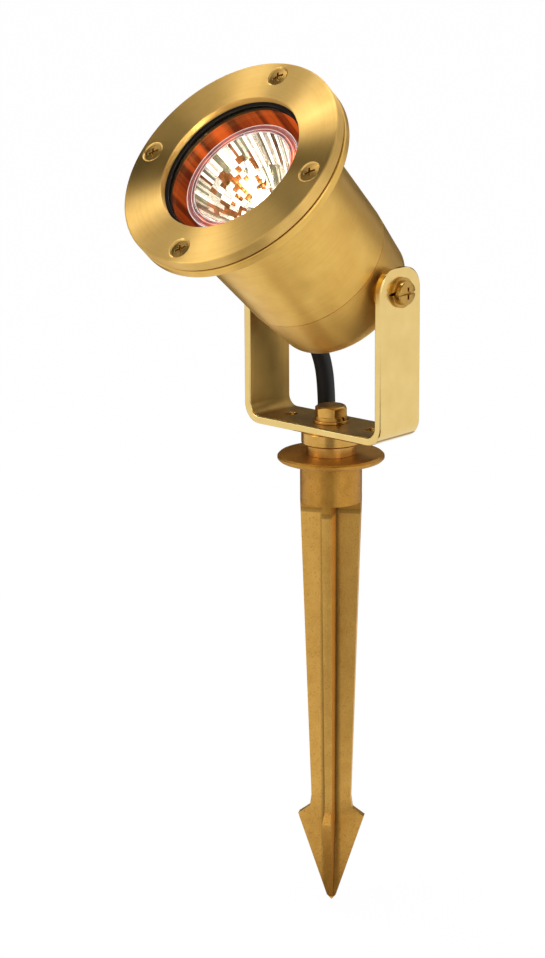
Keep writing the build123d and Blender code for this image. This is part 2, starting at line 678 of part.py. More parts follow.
def lamp_pins():
    low = at_depth(LAMP_END + PIN_LEN)
    high = at_depth(LAMP_END - PIN_SEAT)
    pins = [Pos(side * PIN_SPACING / 2, 0, 0) * rod(PIN_R, low, high) for side in (-1, 1)]
    return Compound(children=[Part(on_head(pin).wrapped) for pin in pins])


def holder_screw_cut(radius, low, high):
    """Pair of round bars at the lampholder's two screws."""
    bars = [Pos(side * HOLDER_SCREW_SPACING / 2, 0, 0) * rod(radius, low, high) for side in (-1, 1)]
    return bars[0] + bars[1]


def lampholder():
    front = at_depth(HOLDER_FRONT)
    back = at_depth(BRACKET_FRONT)
    block = extrude(RectangleRounded(HOLDER_X, HOLDER_Y, HOLDER_CORNER_R), amount=HOLDER_LEN)
    block = Pos(0, 0, back) * block
    for side in (-1, 1):
        socket = rod(PIN_R + PIN_CLEARANCE, front - PIN_LEN - PIN_END_GAP, front)
        block -= Pos(side * PIN_SPACING / 2, 0, 0) * socket
    return on_head(block - holder_screw_cut(HOLDER_SCREW_R + THREAD_FIT, back, back + HOLDER_SCREW_LEN))


def lampholder_bracket():
    """Thin bridge that spans the bore and carries the lampholder."""
    back = at_depth(REGISTER_DEPTH)
    round_plate = Pos(0, 0, back) * Cylinder(REGISTER_R - THREAD_FIT, BRACKET_T, align=BOTTOM)
    bridge = round_plate & Pos(0, 0, back) * Box(4 * REGISTER_R, BRACKET_WIDTH, BRACKET_T, align=BOTTOM)
    bridge -= holder_screw_cut(HOLDER_SCREW_R + THREAD_FIT, back, back + BRACKET_T)
    for side in (-1, 1):
        bridge -= Pos(side * LEAD_START_X, 0, 0) * rod(LEAD_HOLE_R, back, back + BRACKET_T)
    return on_head(bridge)


def lampholder_screws():
    back = at_depth(REGISTER_DEPTH)
    screws = []
    for side in (-1, 1):
        head = rod(HOLDER_SCREW_HEAD_R, back - HOLDER_SCREW_HEAD_H, back)
        shank = rod(HOLDER_SCREW_R, back, back + HOLDER_SCREW_LEN)
        screws.append(on_head(Pos(side * HOLDER_SCREW_SPACING / 2, 0, 0) * (head + shank)))
    return Compound(children=[Part(screw.wrapped) for screw in screws])


def lead_wires():
    """Two sleeved leads from the lampholder to the end of the cable's sheath."""
    sheath_end = at_depth(REAR_DEPTH - REAR_WALL - CABLE_INSIDE)
    start = at_depth(BRACKET_FRONT)
    wires = []
    for side in (-1, 1):
        end_x = GLAND_X + side * CORE_SPACING / 2
        points = [
            (side * LEAD_START_X, 0, start),
            (side * LEAD_START_X, 0, start - LEAD_START_RUN),
            (end_x, GLAND_UP, sheath_end + LEAD_END_RUN),
            (end_x, GLAND_UP, sheath_end),
        ]
        path = FilletPolyline(*points, radius=fillet_radii(points))
        section = Plane(origin=points[0], z_dir=(0, 0, -1)) * Circle(LEAD_R)
        wires.append(on_head(sweep(section, path=path)))
    return Compound(children=[Part(wire.wrapped) for wire in wires])


# ---- cable and gland ----


def fillet_radii(points):
    """Easy radius at each corner of a route, with a bend that keeps to its share of the shorter run.

    The first bend also starts no earlier than the straight run outside the gland.
    """
    vectors = [Vector(*point) for point in points]
    radii = []
    for before, corner, after in zip(vectors, vectors[1:], vectors[2:]):
        turn = (corner - before).get_angle(after - corner)
        bend = BEND_SHARE * min((corner - before).length, (after - corner).length)
        if not radii:
            bend = min(bend, CABLE_LEAVE)
        radii.append(bend / math.tan(math.radians(turn / 2)))
    return radii


def on_gland_axis(piece):
    """Place a round piece, built in the head's frame on its axis, on the gland's axis."""
    return on_head(Pos(GLAND_X, GLAND_UP, 0) * piece)


def gland_body():
    collar_back = REAR_DEPTH + GLAND_COLLAR_T
    bore = CABLE_R + SEAL_FIT
    return on_gland_axis(turned_head([
        (bore, REAR_DEPTH - REAR_WALL),
        (GLAND_THREAD_R, REAR_DEPTH - REAR_WALL),
        (GLAND_THREAD_R, REAR_DEPTH),
        (GLAND_COLLAR_R, REAR_DEPTH),
        (GLAND_COLLAR_R, collar_back),
        (GLAND_SPOUT_R, collar_back),
        (GLAND_SPOUT_R, collar_back + GLAND_SPOUT_LEN),
        (bore, collar_back + GLAND_SPOUT_LEN),
    ]))


def gland_seal():
    """Rubber ring that the nut squeezes on to the cable, behind the gland's spout."""
    front = REAR_DEPTH + GLAND_COLLAR_T + GLAND_SPOUT_LEN
    back = GLAND_END - GLAND_NUT_LIP
    return on_gland_axis(ring(GLAND_SPOUT_R, CABLE_R + SEAL_FIT, at_depth(back), at_depth(front)))


def gland_nut():
    front = REAR_DEPTH + GLAND_COLLAR_T + GLAND_NUT_GAP
    inside = GLAND_SPOUT_R + THREAD_FIT
    return on_gland_axis(turned_head([
        (inside, front),
        (GLAND_COLLAR_R, front),
        (GLAND_COLLAR_R, GLAND_END - GLAND_NUT_CHAMFER),
        (GLAND_COLLAR_R - GLAND_NUT_CHAMFER, GLAND_END),
        (CABLE_R + SEAL_FIT, GLAND_END),
        (CABLE_R + SEAL_FIT, GLAND_END - GLAND_NUT_LIP),
        (inside, GLAND_END - GLAND_NUT_LIP),
    ]))


def flex_cable():
    """Round rubber flex from inside the rear housing, through the gland, down behind the spike."""
    inner_depth = REAR_DEPTH - REAR_WALL - CABLE_INSIDE
    start = HEAD_PLANE.from_local_coords(Vector(GLAND_X, GLAND_UP, at_depth(inner_depth)))
    leave = HEAD_PLANE.from_local_coords(Vector(GLAND_X, GLAND_UP, at_depth(GLAND_END + CABLE_LEAVE)))
    points = [tuple(start), tuple(leave)] + CABLE_ROUTE
    radii = fillet_radii(points)
    path = FilletPolyline(*points, radius=radii)
    section = Plane(origin=start, z_dir=leave - start) * Circle(CABLE_R)
    tube = sweep(section, path=path)
    expected = math.pi * CABLE_R**2 * path.length
    print("cable radii", [round(radius) for radius in radii])
    print("cable length", round(path.length, 1), "volume share", round(tube.volume / expected, 4))
    return tube


def cable_end_frame():
    """Plane across the cut end of the sheath, looking out along the cores."""
    last = Vector(*CABLE_ROUTE[-1])
    return Plane(origin=last, x_dir=(1, 0, 0), z_dir=last - Vector(*CABLE_ROUTE[-2]))


def cable_cores():
    """Two insulated cores that come out of the cut sheath."""
    frame = cable_end_frame()
    cores = [Pos(side * CORE_SPACING / 2, 0, 0) * rod(CORE_R, 0, CORE_LEN) for side in (-1, 1)]
    return Compound(children=[Part((frame.location * core).wrapped) for core in cores])


def core_strands():
    """Bare twisted conductors at the ends of the two cores."""
    frame = cable_end_frame()
    ends = []
    for side in (-1, 1):
        ends.append(Pos(side * CORE_SPACING / 2, 0, 0) * rod(STRAND_R, CORE_LEN, CORE_LEN + STRAND_LEN))
    return Compound(children=[Part((frame.location * end).wrapped) for end in ends])


SUB_PARTS = [
    ground_spike, stem_adaptor, stem_bolt, bolt_flat_washer, bolt_spring_washer,
    yoke_bracket,
    bezel_ring, bezel_screws, lens_gasket, lens_glass, barrel, body_oring, rear_housing,
    pivot_screws, pivot_lock_washers, pivot_spacers,
    lamp_reflector, lamp_base, lamp_capsule, lamp_pins,
    lampholder, lampholder_bracket, lampholder_screws, lead_wires,
    gland_body, gland_seal, gland_nut, flex_cable, cable_cores, core_strands,
]

os.makedirs("parts", exist_ok=True)
for sub_part in SUB_PARTS:
    export_step(sub_part(), os.path.join("parts", sub_part.__name__ + ".step"))
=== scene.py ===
"""Surfaces, lamp, cable, studio and camera of a brass garden spike spotlight.

Lengths are metres, or millimetres where a name ends in _mm. The origin is on the spike's axis
at ground level, +Z is up and the lamp faces -Y. The head's own frame stands on the tilt axis:
its x is the tilt axis and its z runs out of the lamp's front.
"""

import json
import logging
import math
import random
from dataclasses import dataclass
from enum import Enum

import bmesh
import bpy
from mathutils import Matrix, Vector, noise


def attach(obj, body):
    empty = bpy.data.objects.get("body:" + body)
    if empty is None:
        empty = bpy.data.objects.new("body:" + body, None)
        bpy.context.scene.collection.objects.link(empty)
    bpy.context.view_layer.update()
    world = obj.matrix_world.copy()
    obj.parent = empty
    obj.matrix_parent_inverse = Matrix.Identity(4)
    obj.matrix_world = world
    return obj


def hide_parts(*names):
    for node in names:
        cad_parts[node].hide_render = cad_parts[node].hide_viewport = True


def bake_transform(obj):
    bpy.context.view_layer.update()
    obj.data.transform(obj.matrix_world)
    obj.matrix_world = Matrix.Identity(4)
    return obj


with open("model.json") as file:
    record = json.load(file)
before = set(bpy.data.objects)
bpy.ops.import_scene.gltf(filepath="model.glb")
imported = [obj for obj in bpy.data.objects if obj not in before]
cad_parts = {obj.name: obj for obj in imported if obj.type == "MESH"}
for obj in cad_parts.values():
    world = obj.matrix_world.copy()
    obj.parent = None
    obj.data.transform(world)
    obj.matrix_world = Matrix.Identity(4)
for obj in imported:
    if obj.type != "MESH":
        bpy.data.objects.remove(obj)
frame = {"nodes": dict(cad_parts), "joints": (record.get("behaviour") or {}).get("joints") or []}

MM = 0.001
WELD = 2e-6  # points nearer than this are one point
FLAT_DEG = 0.6  # faces that turn less than this are one flat
GLASS_STEPS = 96  # faces round the lamp's glass
QUARTER_TURN = 0.25  # sets highlights across the tool marks
WHITE = (1, 1, 1, 1)
SPAN = {"From Min": 0.3, "From Max": 0.7}  # where nearly all of a noise lies
MIX = {"data_type": "RGBA"}  # the mix node's colour inputs are 6 and 7, and its output 2
LOG = logging.getLogger("spotlight")

Tree, Node, Socket = bpy.types.NodeTree, bpy.types.Node, bpy.types.NodeSocket
Object, Material, BMesh = bpy.types.Object, bpy.types.Material, bmesh.types.BMesh


# ---- colours and nodes ----


def linear(colour: str) -> tuple[float, float, float, float]:
    """Turn an sRGB hex colour into the linear colour that a shader reads.

    Args:
        colour: six hex digits after a hash sign.

    Returns:
        Red, green, blue and an alpha of 1.
    """
    values = [int(colour[start:start + 2], 16) / 255 for start in (1, 3, 5)]
    values = [v / 12.92 if v <= 0.04045 else ((v + 0.055) / 1.055) ** 2.4 for v in values]
    return (*values, 1.0)


def add_node(
    tree: Tree, kind: str, links: dict[str | int, object] | None = None, **settings: object
) -> Node:
    """Add one shader node.

    Args:
        tree: the tree that gets the node.
        kind: the node's type name, after ShaderNode.
        links: for each input, a node's output, a node for its first output, or a value to hold.
        settings: attributes of the node.

    Returns:
        The new node.
    """
    node = tree.nodes.new("ShaderNode" + kind)
    for name, value in settings.items():
        setattr(node, name, value)
    for socket, value in (links or {}).items():
        if isinstance(value, Node):
            value = value.outputs[0]
        if isinstance(value, Socket):
            tree.links.new(value, node.inputs[socket])
        else:
            node.inputs[socket].default_value = value
    return node


def uneven(tree: Tree, place: Socket, step_mm: float, detail: float, roughness: float = 0.5) -> Socket:
    """Make an irregular pattern whose steps have a real size.

    Args:
        tree: the material's tree.
        place: the place on the object, in metres.
        step_mm: one step of the pattern.
        detail: how many finer patterns lie over it.
        roughness: how strong those are.

    Returns:
        The pattern, from 0 to 1.
    """
    links = {0: place, "Scale": 1 / (step_mm * MM)}
    steps = add_node(tree, "VectorMath", links, operation="SCALE")
    links = {"Vector": steps, "Scale": 1.0, "Detail": detail, "Roughness": roughness}
    return add_node(tree, "TexNoise", links).outputs[0]


def surface(
    tree: Tree,
    colour: Socket,
    pattern: Socket,
    rough: tuple[float, float],
    reliefs: list[tuple[Socket, float]],
    inputs: dict[str, object],
) -> Node:
    """Make the shader of a surface that isn't quite even.

    Args:
        tree: the material's tree.
        colour: its colour.
        pattern: the pattern that its roughness follows.
        rough: its roughness where that pattern is low and where it is high.
        reliefs: the patterns that stand out of it, each with its height in millimetres.
        inputs: the shader's other inputs.

    Returns:
        The shader.
    """
    links = {"Value": pattern, **SPAN, "To Min": rough[0], "To Max": rough[1]}
    links = {"Base Color": colour, "Roughness": add_node(tree, "MapRange", links), **inputs}
    for height, depth_mm in reliefs:
        under = {"Normal": links["Normal"]} if "Normal" in links else {}
        relief = {"Height": height, "Strength": 1.0, "Distance": depth_mm * MM, **under}
        links["Normal"] = add_node(tree, "Bump", relief)
    return add_node(tree, "BsdfPrincipled", links)


# ---- the head's own frame ----


@dataclass(frozen=True)
class HeadFrame:
    """The tilted frame of the lamp head."""

    tilt_deg: float = 43.0  # nose above the horizontal, at rest
    front: float = 0.0817  # from the tilt axis to the bezel's front face

    @property
    def pivot(self) -> Vector:
        """Middle of the tilt axis."""
        return Vector(next(j["pos_m"] for j in frame["joints"] if j["name"] == "head_tilt"))

    @property
    def turn(self) -> float:
        """Turn about X from the row's frame to the head's, in radians."""
        return math.radians(90 - self.tilt_deg)

    @property
    def matrix(self) -> Matrix:
        """Place of the head's frame in the row's."""
        return Matrix.Translation(self.pivot) @ Matrix.Rotation(self.turn, 4, "X")

    def point(self, x: float, y: float, depth: float) -> Vector:
        """Point at a depth behind the bezel's front face, in the row's frame."""
        return self.matrix @ Vector((x, y, self.front - depth))


HEAD = HeadFrame()


class Lay(Enum):
    """Which axis the tool marks of a surface run round."""

    ROUND_HEAD = "the head's axis"
    ROUND_STEM = "the spike's axis"


def lay_place(tree: Tree, lay: Lay) -> tuple[Socket, Socket]:
    """Find the place on the object in the frame that a surface was turned in.

    Args:
        tree: the material's tree.
        lay: which axis the tool marks run round.

    Returns:
        The place, with z along the axis, and the way to it from the axis.
    """
    place = add_node(tree, "TexCoord").outputs["Object"]
    if lay is Lay.ROUND_HEAD:
        links = {"Vector": place, "Location": HEAD.pivot, "Rotation": (HEAD.turn, 0, 0)}
        place = add_node(tree, "Mapping", links, vector_type="TEXTURE").outputs[0]
    links = {0: place, 1: (1, 1, 0)}
    return place, add_node(tree, "VectorMath", links, operation="MULTIPLY").outputs[0]


# ---- finishes ----


@dataclass(frozen=True)
class Finish:
    """What all finishes share."""

    name: str

    def build(self) -> Material:
        """Make the material.

        Returns:
            The material, with the finish's shader linked to its output.
        """
        material = bpy.data.materials.new(self.name)
        material.use_nodes = True
        material.node_tree.nodes.clear()
        shader = self.shade(material.node_tree)
        add_node(material.node_tree, "OutputMaterial", {"Surface": shader})
        return material

    def shade(self, tree: Tree) -> Node:
        """Make the finish's nodes in a material's tree and return its shader."""
        raise NotImplementedError


@dataclass(frozen=True)
class TurnedBrass(Finish):
    """Bare brass off the lathe: fine rings round the axis, which draw each highlight out across them.

    The real rings are near 0.1 mm apart, too fine to show, so they are drawn 0.35 mm or more apart.
    """

    light: str
    dark: str  # colour where it has begun to tarnish
    roughness: float  # of the metal along the tool marks
    anisotropy: float  # how much further highlights spread across the marks
    line_mm: float = 0.35  # spacing of the marks that show
    line_depth_mm: float = 0.006
    lay: Lay = Lay.ROUND_HEAD
    patch_mm: float = 16.0  # size of the patches of tarnish
    line_stain: float = 0.3  # most tarnish in the marks
    patch_stain: float = 0.5  # most tarnish in the patches

    def shade(self, tree: Tree) -> Node:
        """Make the rings, the tarnish and the drawn-out highlights.

        Args:
            tree: the material's tree.

        Returns:
            The shader.
        """
        place, flat = lay_place(tree, self.lay)
        radius = add_node(tree, "VectorMath", {0: flat}, operation="LENGTH").outputs["Value"]
        height = add_node(tree, "SeparateXYZ", {0: place}).outputs["Z"]
        out = add_node(tree, "VectorMath", {0: flat}, operation="NORMALIZE")
        parts = add_node(tree, "SeparateXYZ", {0: out}).outputs
        across = add_node(tree, "Math", {0: radius, 1: height}, operation="ADD")
        steps = add_node(tree, "Math", {0: across, 1: self.line_mm * MM}, operation="DIVIDE")
        ring = add_node(tree, "CombineXYZ", {"X": steps, "Y": parts["X"], "Z": parts["Y"]})
        links = {"Vector": ring, "Scale": 1.0, "Detail": 3.0, "Roughness": 0.7}
        lines = add_node(tree, "TexNoise", links).outputs[0]
        patches = uneven(tree, place, self.patch_mm, 4.0, 0.6)
        links = {
            number: add_node(tree, "MapRange", {"Value": pattern, **SPAN, "To Max": most})
            for number, (pattern, most) in enumerate(
                ((lines, self.line_stain), (patches, self.patch_stain))
            )
        }
        stain = add_node(tree, "Math", links, operation="ADD")
        links = {0: stain, 6: linear(self.light), 7: linear(self.dark)}
        colour = add_node(tree, "Mix", links, **MIX).outputs[2]
        rough = (self.roughness * 0.88, self.roughness * 1.15)
        return surface(tree, colour, patches, rough, [(lines, self.line_depth_mm)], {
            "Metallic": 1.0,
            "Tangent": self.find_tangent(tree, parts["X"], parts["Y"]),
            "Anisotropic": self.anisotropy,
            "Anisotropic Rotation": QUARTER_TURN,
        })

    def find_tangent(self, tree: Tree, x: Socket, y: Socket) -> Node:
        """Find the direction of the marks, round the axis.

        Args:
            tree: the material's tree.
            x: first part of the unit vector out from the axis.
            y: its second part.

        Returns:
            The direction, in the world's frame.
        """
        back = add_node(tree, "Math", {0: y, 1: -1.0}, operation="MULTIPLY")
        tangent = add_node(tree, "CombineXYZ", {"X": back, "Y": x})
        if self.lay is Lay.ROUND_HEAD:
            links = {"Vector": tangent, "Rotation": (HEAD.turn, 0, 0)}
            tangent = add_node(tree, "Mapping", links, vector_type="VECTOR")
        settings = {"vector_type": "VECTOR", "convert_from": "OBJECT", "convert_to": "WORLD"}
        return add_node(tree, "VectorTransform", {0: tangent}, **settings)


@dataclass(frozen=True)
class RolledBrass(Finish):
    """Rolled brass strip: faint lines along it and a slight orange-peel wave.

    The real lines are finer than a tenth of a millimetre, and are drawn 0.5 mm apart so that they
    just show as a grain in the highlights.
    """

    light: str
    dark: str  # colour of the handled patches
    roughness: float
    line_mm: float = 0.5
    line_length: float = 50.0  # length of a line, in spacings
    line_depth_mm: float = 0.002
    wave_mm: float = 9.0  # length of the wave in the surface
    wave_depth_mm: float = 0.015  # depth of the wave
    patch_share: float = 0.5  # most of the dark colour

    def shade(self, tree: Tree) -> Node:
        """Make the rolling lines and the wave.

        Args:
            tree: the material's tree.

        Returns:
            The shader.
        """
        place = add_node(tree, "TexCoord").outputs["Object"]
        links = {"Vector": place, "Scale": (1 / self.line_length, 1.0, 1 / self.line_length)}
        drawn = add_node(tree, "Mapping", links).outputs[0]
        lines = uneven(tree, drawn, self.line_mm, 2.0, 0.6)
        wave = uneven(tree, place, self.wave_mm, 2.0)
        share = add_node(tree, "MapRange", {"Value": wave, **SPAN, "To Max": self.patch_share})
        links = {0: share, 6: linear(self.light), 7: linear(self.dark)}
        colour = add_node(tree, "Mix", links, **MIX).outputs[2]
        rough = (self.roughness * 0.85, self.roughness * 1.2)
        reliefs = [(lines, self.line_depth_mm), (wave, self.wave_depth_mm)]
        return surface(tree, colour, lines, rough, reliefs, {"Metallic": 1.0})


@dataclass(frozen=True)
class CastBrass(Finish):
    """Sand-cast brass: dull brown-gold with the sand's grain and dark pits.

    The ribs carry painted light, less of it on the barbs, and the corners between the ribs and under
    the boss carry painted shade.
    The sand's own grain is near 0.2 mm, too fine to show, so it is drawn at 0.7 mm.
    """

    light: str = "#CC9745"
    mid: str = "#AA7A33"
    # the ribs' lighter colours, which are painted light
    painted_lit_light: str = "#E8B860"
    painted_lit_mid: str = "#D3A04E"
    ribs_top: float = -0.0215  # height of the ribs' top; under it the ribs carry painted light
    painted_lit_above: float = -0.152  # height over which the painted light is full; the barbs below get less, as painted shade
    painted_lit_fade: float = 0.007  # height over which the painted light fades out there
    painted_lit_barbs: float = 0.6  # how much of the painted light the barbs have
    painted_shade_colour: str = "#463216"  # painted shade in the corners between the ribs and under the boss
    painted_shade: float = 0.8  # how much painted shade there is between the ribs
    # how much painted shade there is under the boss
    painted_shade_under_boss: float = 0.35
    painted_shade_from_mm: float = 0.2  # how far out of a corner it is at its darkest
    painted_shade_mm: float = 2.0  # how far the painted shade reaches out of a corner
    rib_turn_deg: float = 32.1  # turn of the ribs about the spike's axis
    corner: float = 0.0025  # the ribs' inner corners, from the two planes through the axis
    pit_colour: str = "#6A4C28"
    pits: float = 0.6  # how much of that colour they have
    roughness: float = 0.42
    grain_mm: float = 0.7
    grain_depth_mm: float = 0.08
    swell_mm: float = 7.0  # size of the slow unevenness
    swell_depth_mm: float = 0.12  # its depth

    def shade(self, tree: Tree) -> Node:
        """Make the skin, the painted light on the ribs, the painted shade and the pits.

        Args:
            tree: the material's tree.

        Returns:
            The shader.
        """
        place = add_node(tree, "TexCoord").outputs["Object"]
        height = add_node(tree, "SeparateXYZ", {0: place}).outputs["Z"]
        grain = uneven(tree, place, self.grain_mm, 4.0, 0.65)
        swell = uneven(tree, place, self.swell_mm, 3.0, 0.6)
        links = {"Value": swell, "From Min": 0.25, "From Max": 0.75, "To Min": 0.1, "To Max": 0.8}
        high_spots = add_node(tree, "MapRange", links)
        # the skin's colour, and its lighter copy for the painted light on the ribs
        colour, lit_colour = (
            add_node(tree, "Mix", {0: high_spots, 6: linear(low), 7: linear(high)}, **MIX).outputs[2]
            for low, high in ((self.mid, self.light), (self.painted_lit_mid, self.painted_lit_light))
        )
        links = {
            "Value": grain, "From Min": 0.24, "From Max": 0.45, "To Min": self.pits, "To Max": 0.0,
        }
        pits = add_node(tree, "MapRange", links)
        for share, over in (
            (self.find_painted_light(tree, height), lit_colour),
            (self.find_painted_shade(tree, place, height), linear(self.painted_shade_colour)),
            (pits, linear(self.pit_colour)),
        ):
            colour = add_node(tree, "Mix", {0: share, 6: colour, 7: over}, **MIX).outputs[2]
        rough = (self.roughness * 1.25, self.roughness * 0.85)
        reliefs = [(grain, self.grain_depth_mm), (swell, self.swell_depth_mm)]
        return surface(tree, colour, grain, rough, reliefs, {"Metallic": 1.0})

    def find_painted_light(self, tree: Tree, height: Socket) -> Node:
        """Find where the ribs carry painted light.

        Args:
            tree: the material's tree.
            height: height above the ground.

        Returns:
            How much painted light is there.
        """
        low, high = self.ribs_top - MM, self.ribs_top + MM
        links = {"Value": height, "From Min": low, "From Max": high, "To Min": 1.0, "To Max": 0.0}
        below = add_node(tree, "MapRange", links)
        low, high = self.painted_lit_above - self.painted_lit_fade, self.painted_lit_above + self.painted_lit_fade
        links = {"Value": height, "From Min": low, "From Max": high, "To Min": self.painted_lit_barbs}
        above = add_node(tree, "MapRange", links)
        return add_node(tree, "Math", {0: below, 1: above}, operation="MULTIPLY")

    def find_painted_shade(self, tree: Tree, place: Socket, height: Socket) -> Node:
        """Find the painted shade between the ribs and under the boss.

        Args:
            tree: the material's tree.
            place: object coordinates.
            height: height above the ground.

        Returns:
            The share of painted shade.
        """
        links = {"Vector": place, "Rotation": (0, 0, math.radians(self.rib_turn_deg))}
        away = add_node(tree, "Mapping", links, vector_type="TEXTURE")
        corner = (self.corner, self.corner, 0)
        for operation, other in (
            ("ABSOLUTE", {}), ("SUBTRACT", {1: corner}), ("MULTIPLY", {1: (1, 1, 0)}),
        ):
            away = add_node(tree, "VectorMath", {0: away, **other}, operation=operation)
        far = add_node(tree, "VectorMath", {0: away}, operation="LENGTH").outputs["Value"]
        low, high = self.painted_shade_from_mm * MM, self.painted_shade_mm * MM
        links = {"Value": far, "From Min": low, "From Max": high, "To Min": self.painted_shade, "To Max": 0.0}
        between = add_node(tree, "MapRange", links)
        links = {0: height, 1: self.ribs_top, 2: MM}
        level = add_node(tree, "Math", links, operation="COMPARE")
        links = {0: level, 1: self.painted_shade_under_boss}
        under = add_node(tree, "Math", links, operation="MULTIPLY")
        return add_node(tree, "Math", {0: between, 1: under}, operation="MAXIMUM")


@dataclass(frozen=True)
class SpeckledFinish(Finish):
    """A plain finish with a fine speckle, for rubber, ceramic, steel, plastic and woven sleeve."""

    light: str
    dark: str
    roughness: float
    metal: bool = False
    ior: float = 1.5  # index of refraction of what isn't metal
    grain_mm: float = 0.6
    grain_depth_mm: float = 0.01

    def shade(self, tree: Tree) -> Node:
        """Make the speckle.

        Args:
            tree: the material's tree.

        Returns:
            The shader.
        """
        grain = uneven(tree, add_node(tree, "TexCoord").outputs["Object"], self.grain_mm, 3.0)
        share = add_node(tree, "MapRange", {"Value": grain, **SPAN})
        links = {0: share, 6: linear(self.dark), 7: linear(self.light)}
        colour = add_node(tree, "Mix", links, **MIX).outputs[2]
        rough = (self.roughness * 0.9, min(1.0, self.roughness * 1.12))
        kind = {"Metallic": 1.0} if self.metal else {"IOR": self.ior}
        return surface(tree, colour, grain, rough, [(grain, self.grain_depth_mm)], kind)


@dataclass(frozen=True)
class ClearGlass(Finish):
    """Flat polished soda-lime glass, which lets the studio's lamps through to what is behind it."""

    colour: str
    ior: float = 1.47
    roughness: float = 0.0

    def shade(self, tree: Tree) -> Node:
        """Make the glass, which throws no shadow.

        Args:
            tree: the material's tree.

        Returns:
            The shader.
        """
        colour = linear(self.colour)
        glass = add_node(tree, "BsdfPrincipled", {
            "Base Color": colour, "Transmission Weight": 1.0, "IOR": self.ior, "Roughness": self.roughness,
        })
        through = add_node(tree, "BsdfTransparent", {0: colour})
        shadow = add_node(tree, "LightPath").outputs["Is Shadow Ray"]
        return add_node(tree, "MixShader", {0: shadow, 1: glass, 2: through})


@dataclass(frozen=True)
class GlowingFinish(Finish):
    """A surface that is lit from inside the lamp."""

    colour: str
    glow: str  # colour of its light
    strength: float
    roughness: float = 0.3
    clear: float = 0.0  # share of the light that passes through, as in glass
    streak: float = 0.0  # how far the light varies round the lamp, from 0 to 1
    streaks: float = 9.0  # number of streaks round the lamp, roughly
    streak_edge: tuple[float, float] = (0.38, 0.62)  # where in the noise a streak starts and ends

    def shade(self, tree: Tree) -> Node:
        """Make the surface and its light.

        Args:
            tree: the material's tree.

        Returns:
            The shader.
        """
        return add_node(tree, "BsdfPrincipled", {
            "Base Color": linear(self.colour),
            "Roughness": self.roughness,
            "Transmission Weight": self.clear,
            "Emission Color": linear(self.glow),
            "Emission Strength": self.find_streaks(tree) if self.streak else self.strength,
        })

    def find_streaks(self, tree: Tree) -> Node:
        """Vary the light round the lamp's axis.

        Args:
            tree: the material's tree.

        Returns:
            The light's strength.
        """
        flat = lay_place(tree, Lay.ROUND_HEAD)[1]
        out = add_node(tree, "VectorMath", {0: flat}, operation="NORMALIZE")
        links = {"Vector": out, "Scale": self.streaks / math.pi, "Detail": 3.0}
        pattern = add_node(tree, "TexNoise", links)
        low, high = self.streak_edge
        dim = self.strength * (1 - self.streak)
        links = {"From Min": low, "From Max": high, "To Min": dim, "To Max": self.strength}
        return add_node(tree, "MapRange", {"Value": pattern, **links})


@dataclass(frozen=True)
class Paper(Finish):
    """Matt paper or card."""

    colour: str
    roughness: float = 0.9
    white: float = 0.0  # share of it that the camera, mirrors and windows see as plain white

    def shade(self, tree: Tree) -> Node:
        """Make the paper.

        Args:
            tree: the material's tree.

        Returns:
            The shader.
        """
        links = {"Base Color": linear(self.colour), "Roughness": self.roughness}
        paper = add_node(tree, "BsdfPrincipled", links)
        if not self.white:
            return paper
        path = add_node(tree, "LightPath").outputs
        share = path["Is Camera Ray"]
        for ray in ("Is Glossy Ray", "Is Transmission Ray"):
            share = add_node(tree, "Math", {0: share, 1: path[ray]}, operation="MAXIMUM")
        share = add_node(tree, "Math", {0: share, 1: self.white}, operation="MULTIPLY")
        glow = add_node(tree, "Emission", {"Color": WHITE, "Strength": 1.0})
        return add_node(tree, "MixShader", {0: share, 1: paper, 2: glow})


# ---- shapes ----


def machined_copy(
    node: str,
    edge_mm: float,
    material: Material,
    body: str,
    merge_flats: bool = True,
    corner_deg: float = 28.0,
) -> Object:
    """Stand a merged copy with rounded edges in for a CAD node.

    Args:
        node: the node it replaces.
        edge_mm: width of the rounding on its corners.
        material: its finish.
        body: the body it rides on.
        merge_flats: whether the triangles of each flat become one face, which suits plain outlines.
        corner_deg: an edge sharper than this is a corner.

    Returns:
        The new piece.
    """
    shape = bmesh.new()
    shape.from_mesh(frame["nodes"][node].data)
    bmesh.ops.remove_doubles(shape, verts=shape.verts, dist=WELD)
    if merge_flats:
        flat = math.radians(FLAT_DEG)
        bmesh.ops.dissolve_limit(
            shape, angle_limit=flat, verts=shape.verts, edges=shape.edges, delimit=set()
        )
    for edge in shape.edges:
        edge.smooth = len(edge.link_faces) == 2 and edge.calc_face_angle() < math.radians(corner_deg)
    piece = placed(shape, node + "_finished", material, body, smooth=True)
    bevel = piece.modifiers.new("Rounded edges", "BEVEL")
    bevel.width = edge_mm * MM
    bevel.segments = 3
    bevel.limit_method = "ANGLE"
    bevel.angle_limit = math.radians(corner_deg)
    bevel.harden_normals = True
    bevel.use_clamp_overlap = True
    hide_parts(node)
    return piece


def placed(shape: BMesh, name: str, material: Material, body: str | None, smooth: bool = False) -> Object:
    """Make an object from a bmesh and let it ride on a body.

    Args:
        shape: the mesh, in the row's frame.
        name: the object's name.
        material: its finish.
        body: the body it rides on, or None.
        smooth: whether all its faces are shaded smooth.

    Returns:
        The new object.
    """
    mesh = bpy.data.meshes.new(name)
    shape.to_mesh(mesh)
    shape.free()
    mesh.materials.clear()
    mesh.materials.append(material)
    for polygon in mesh.polygons:
        polygon.material_index = 0
        polygon.use_smooth = smooth or polygon.use_smooth
    piece = bpy.data.objects.new(name, mesh)
    bpy.context.scene.collection.objects.link(piece)
    if body:
        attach(piece, body)
    LOG.info("%s: %d faces on %s", name, len(mesh.polygons), body or "two bodies")
    return piece


def dress(node: str, material: Material) -> None:
    """Give a CAD node, which keeps its own mesh, its material.

    Args:
        node: the node.
        material: its finish.
    """
    piece = frame["nodes"][node]
    piece.data.materials.clear()
    piece.data.materials.append(material)
    LOG.info("%s: CAD mesh in %s", node, material.name)


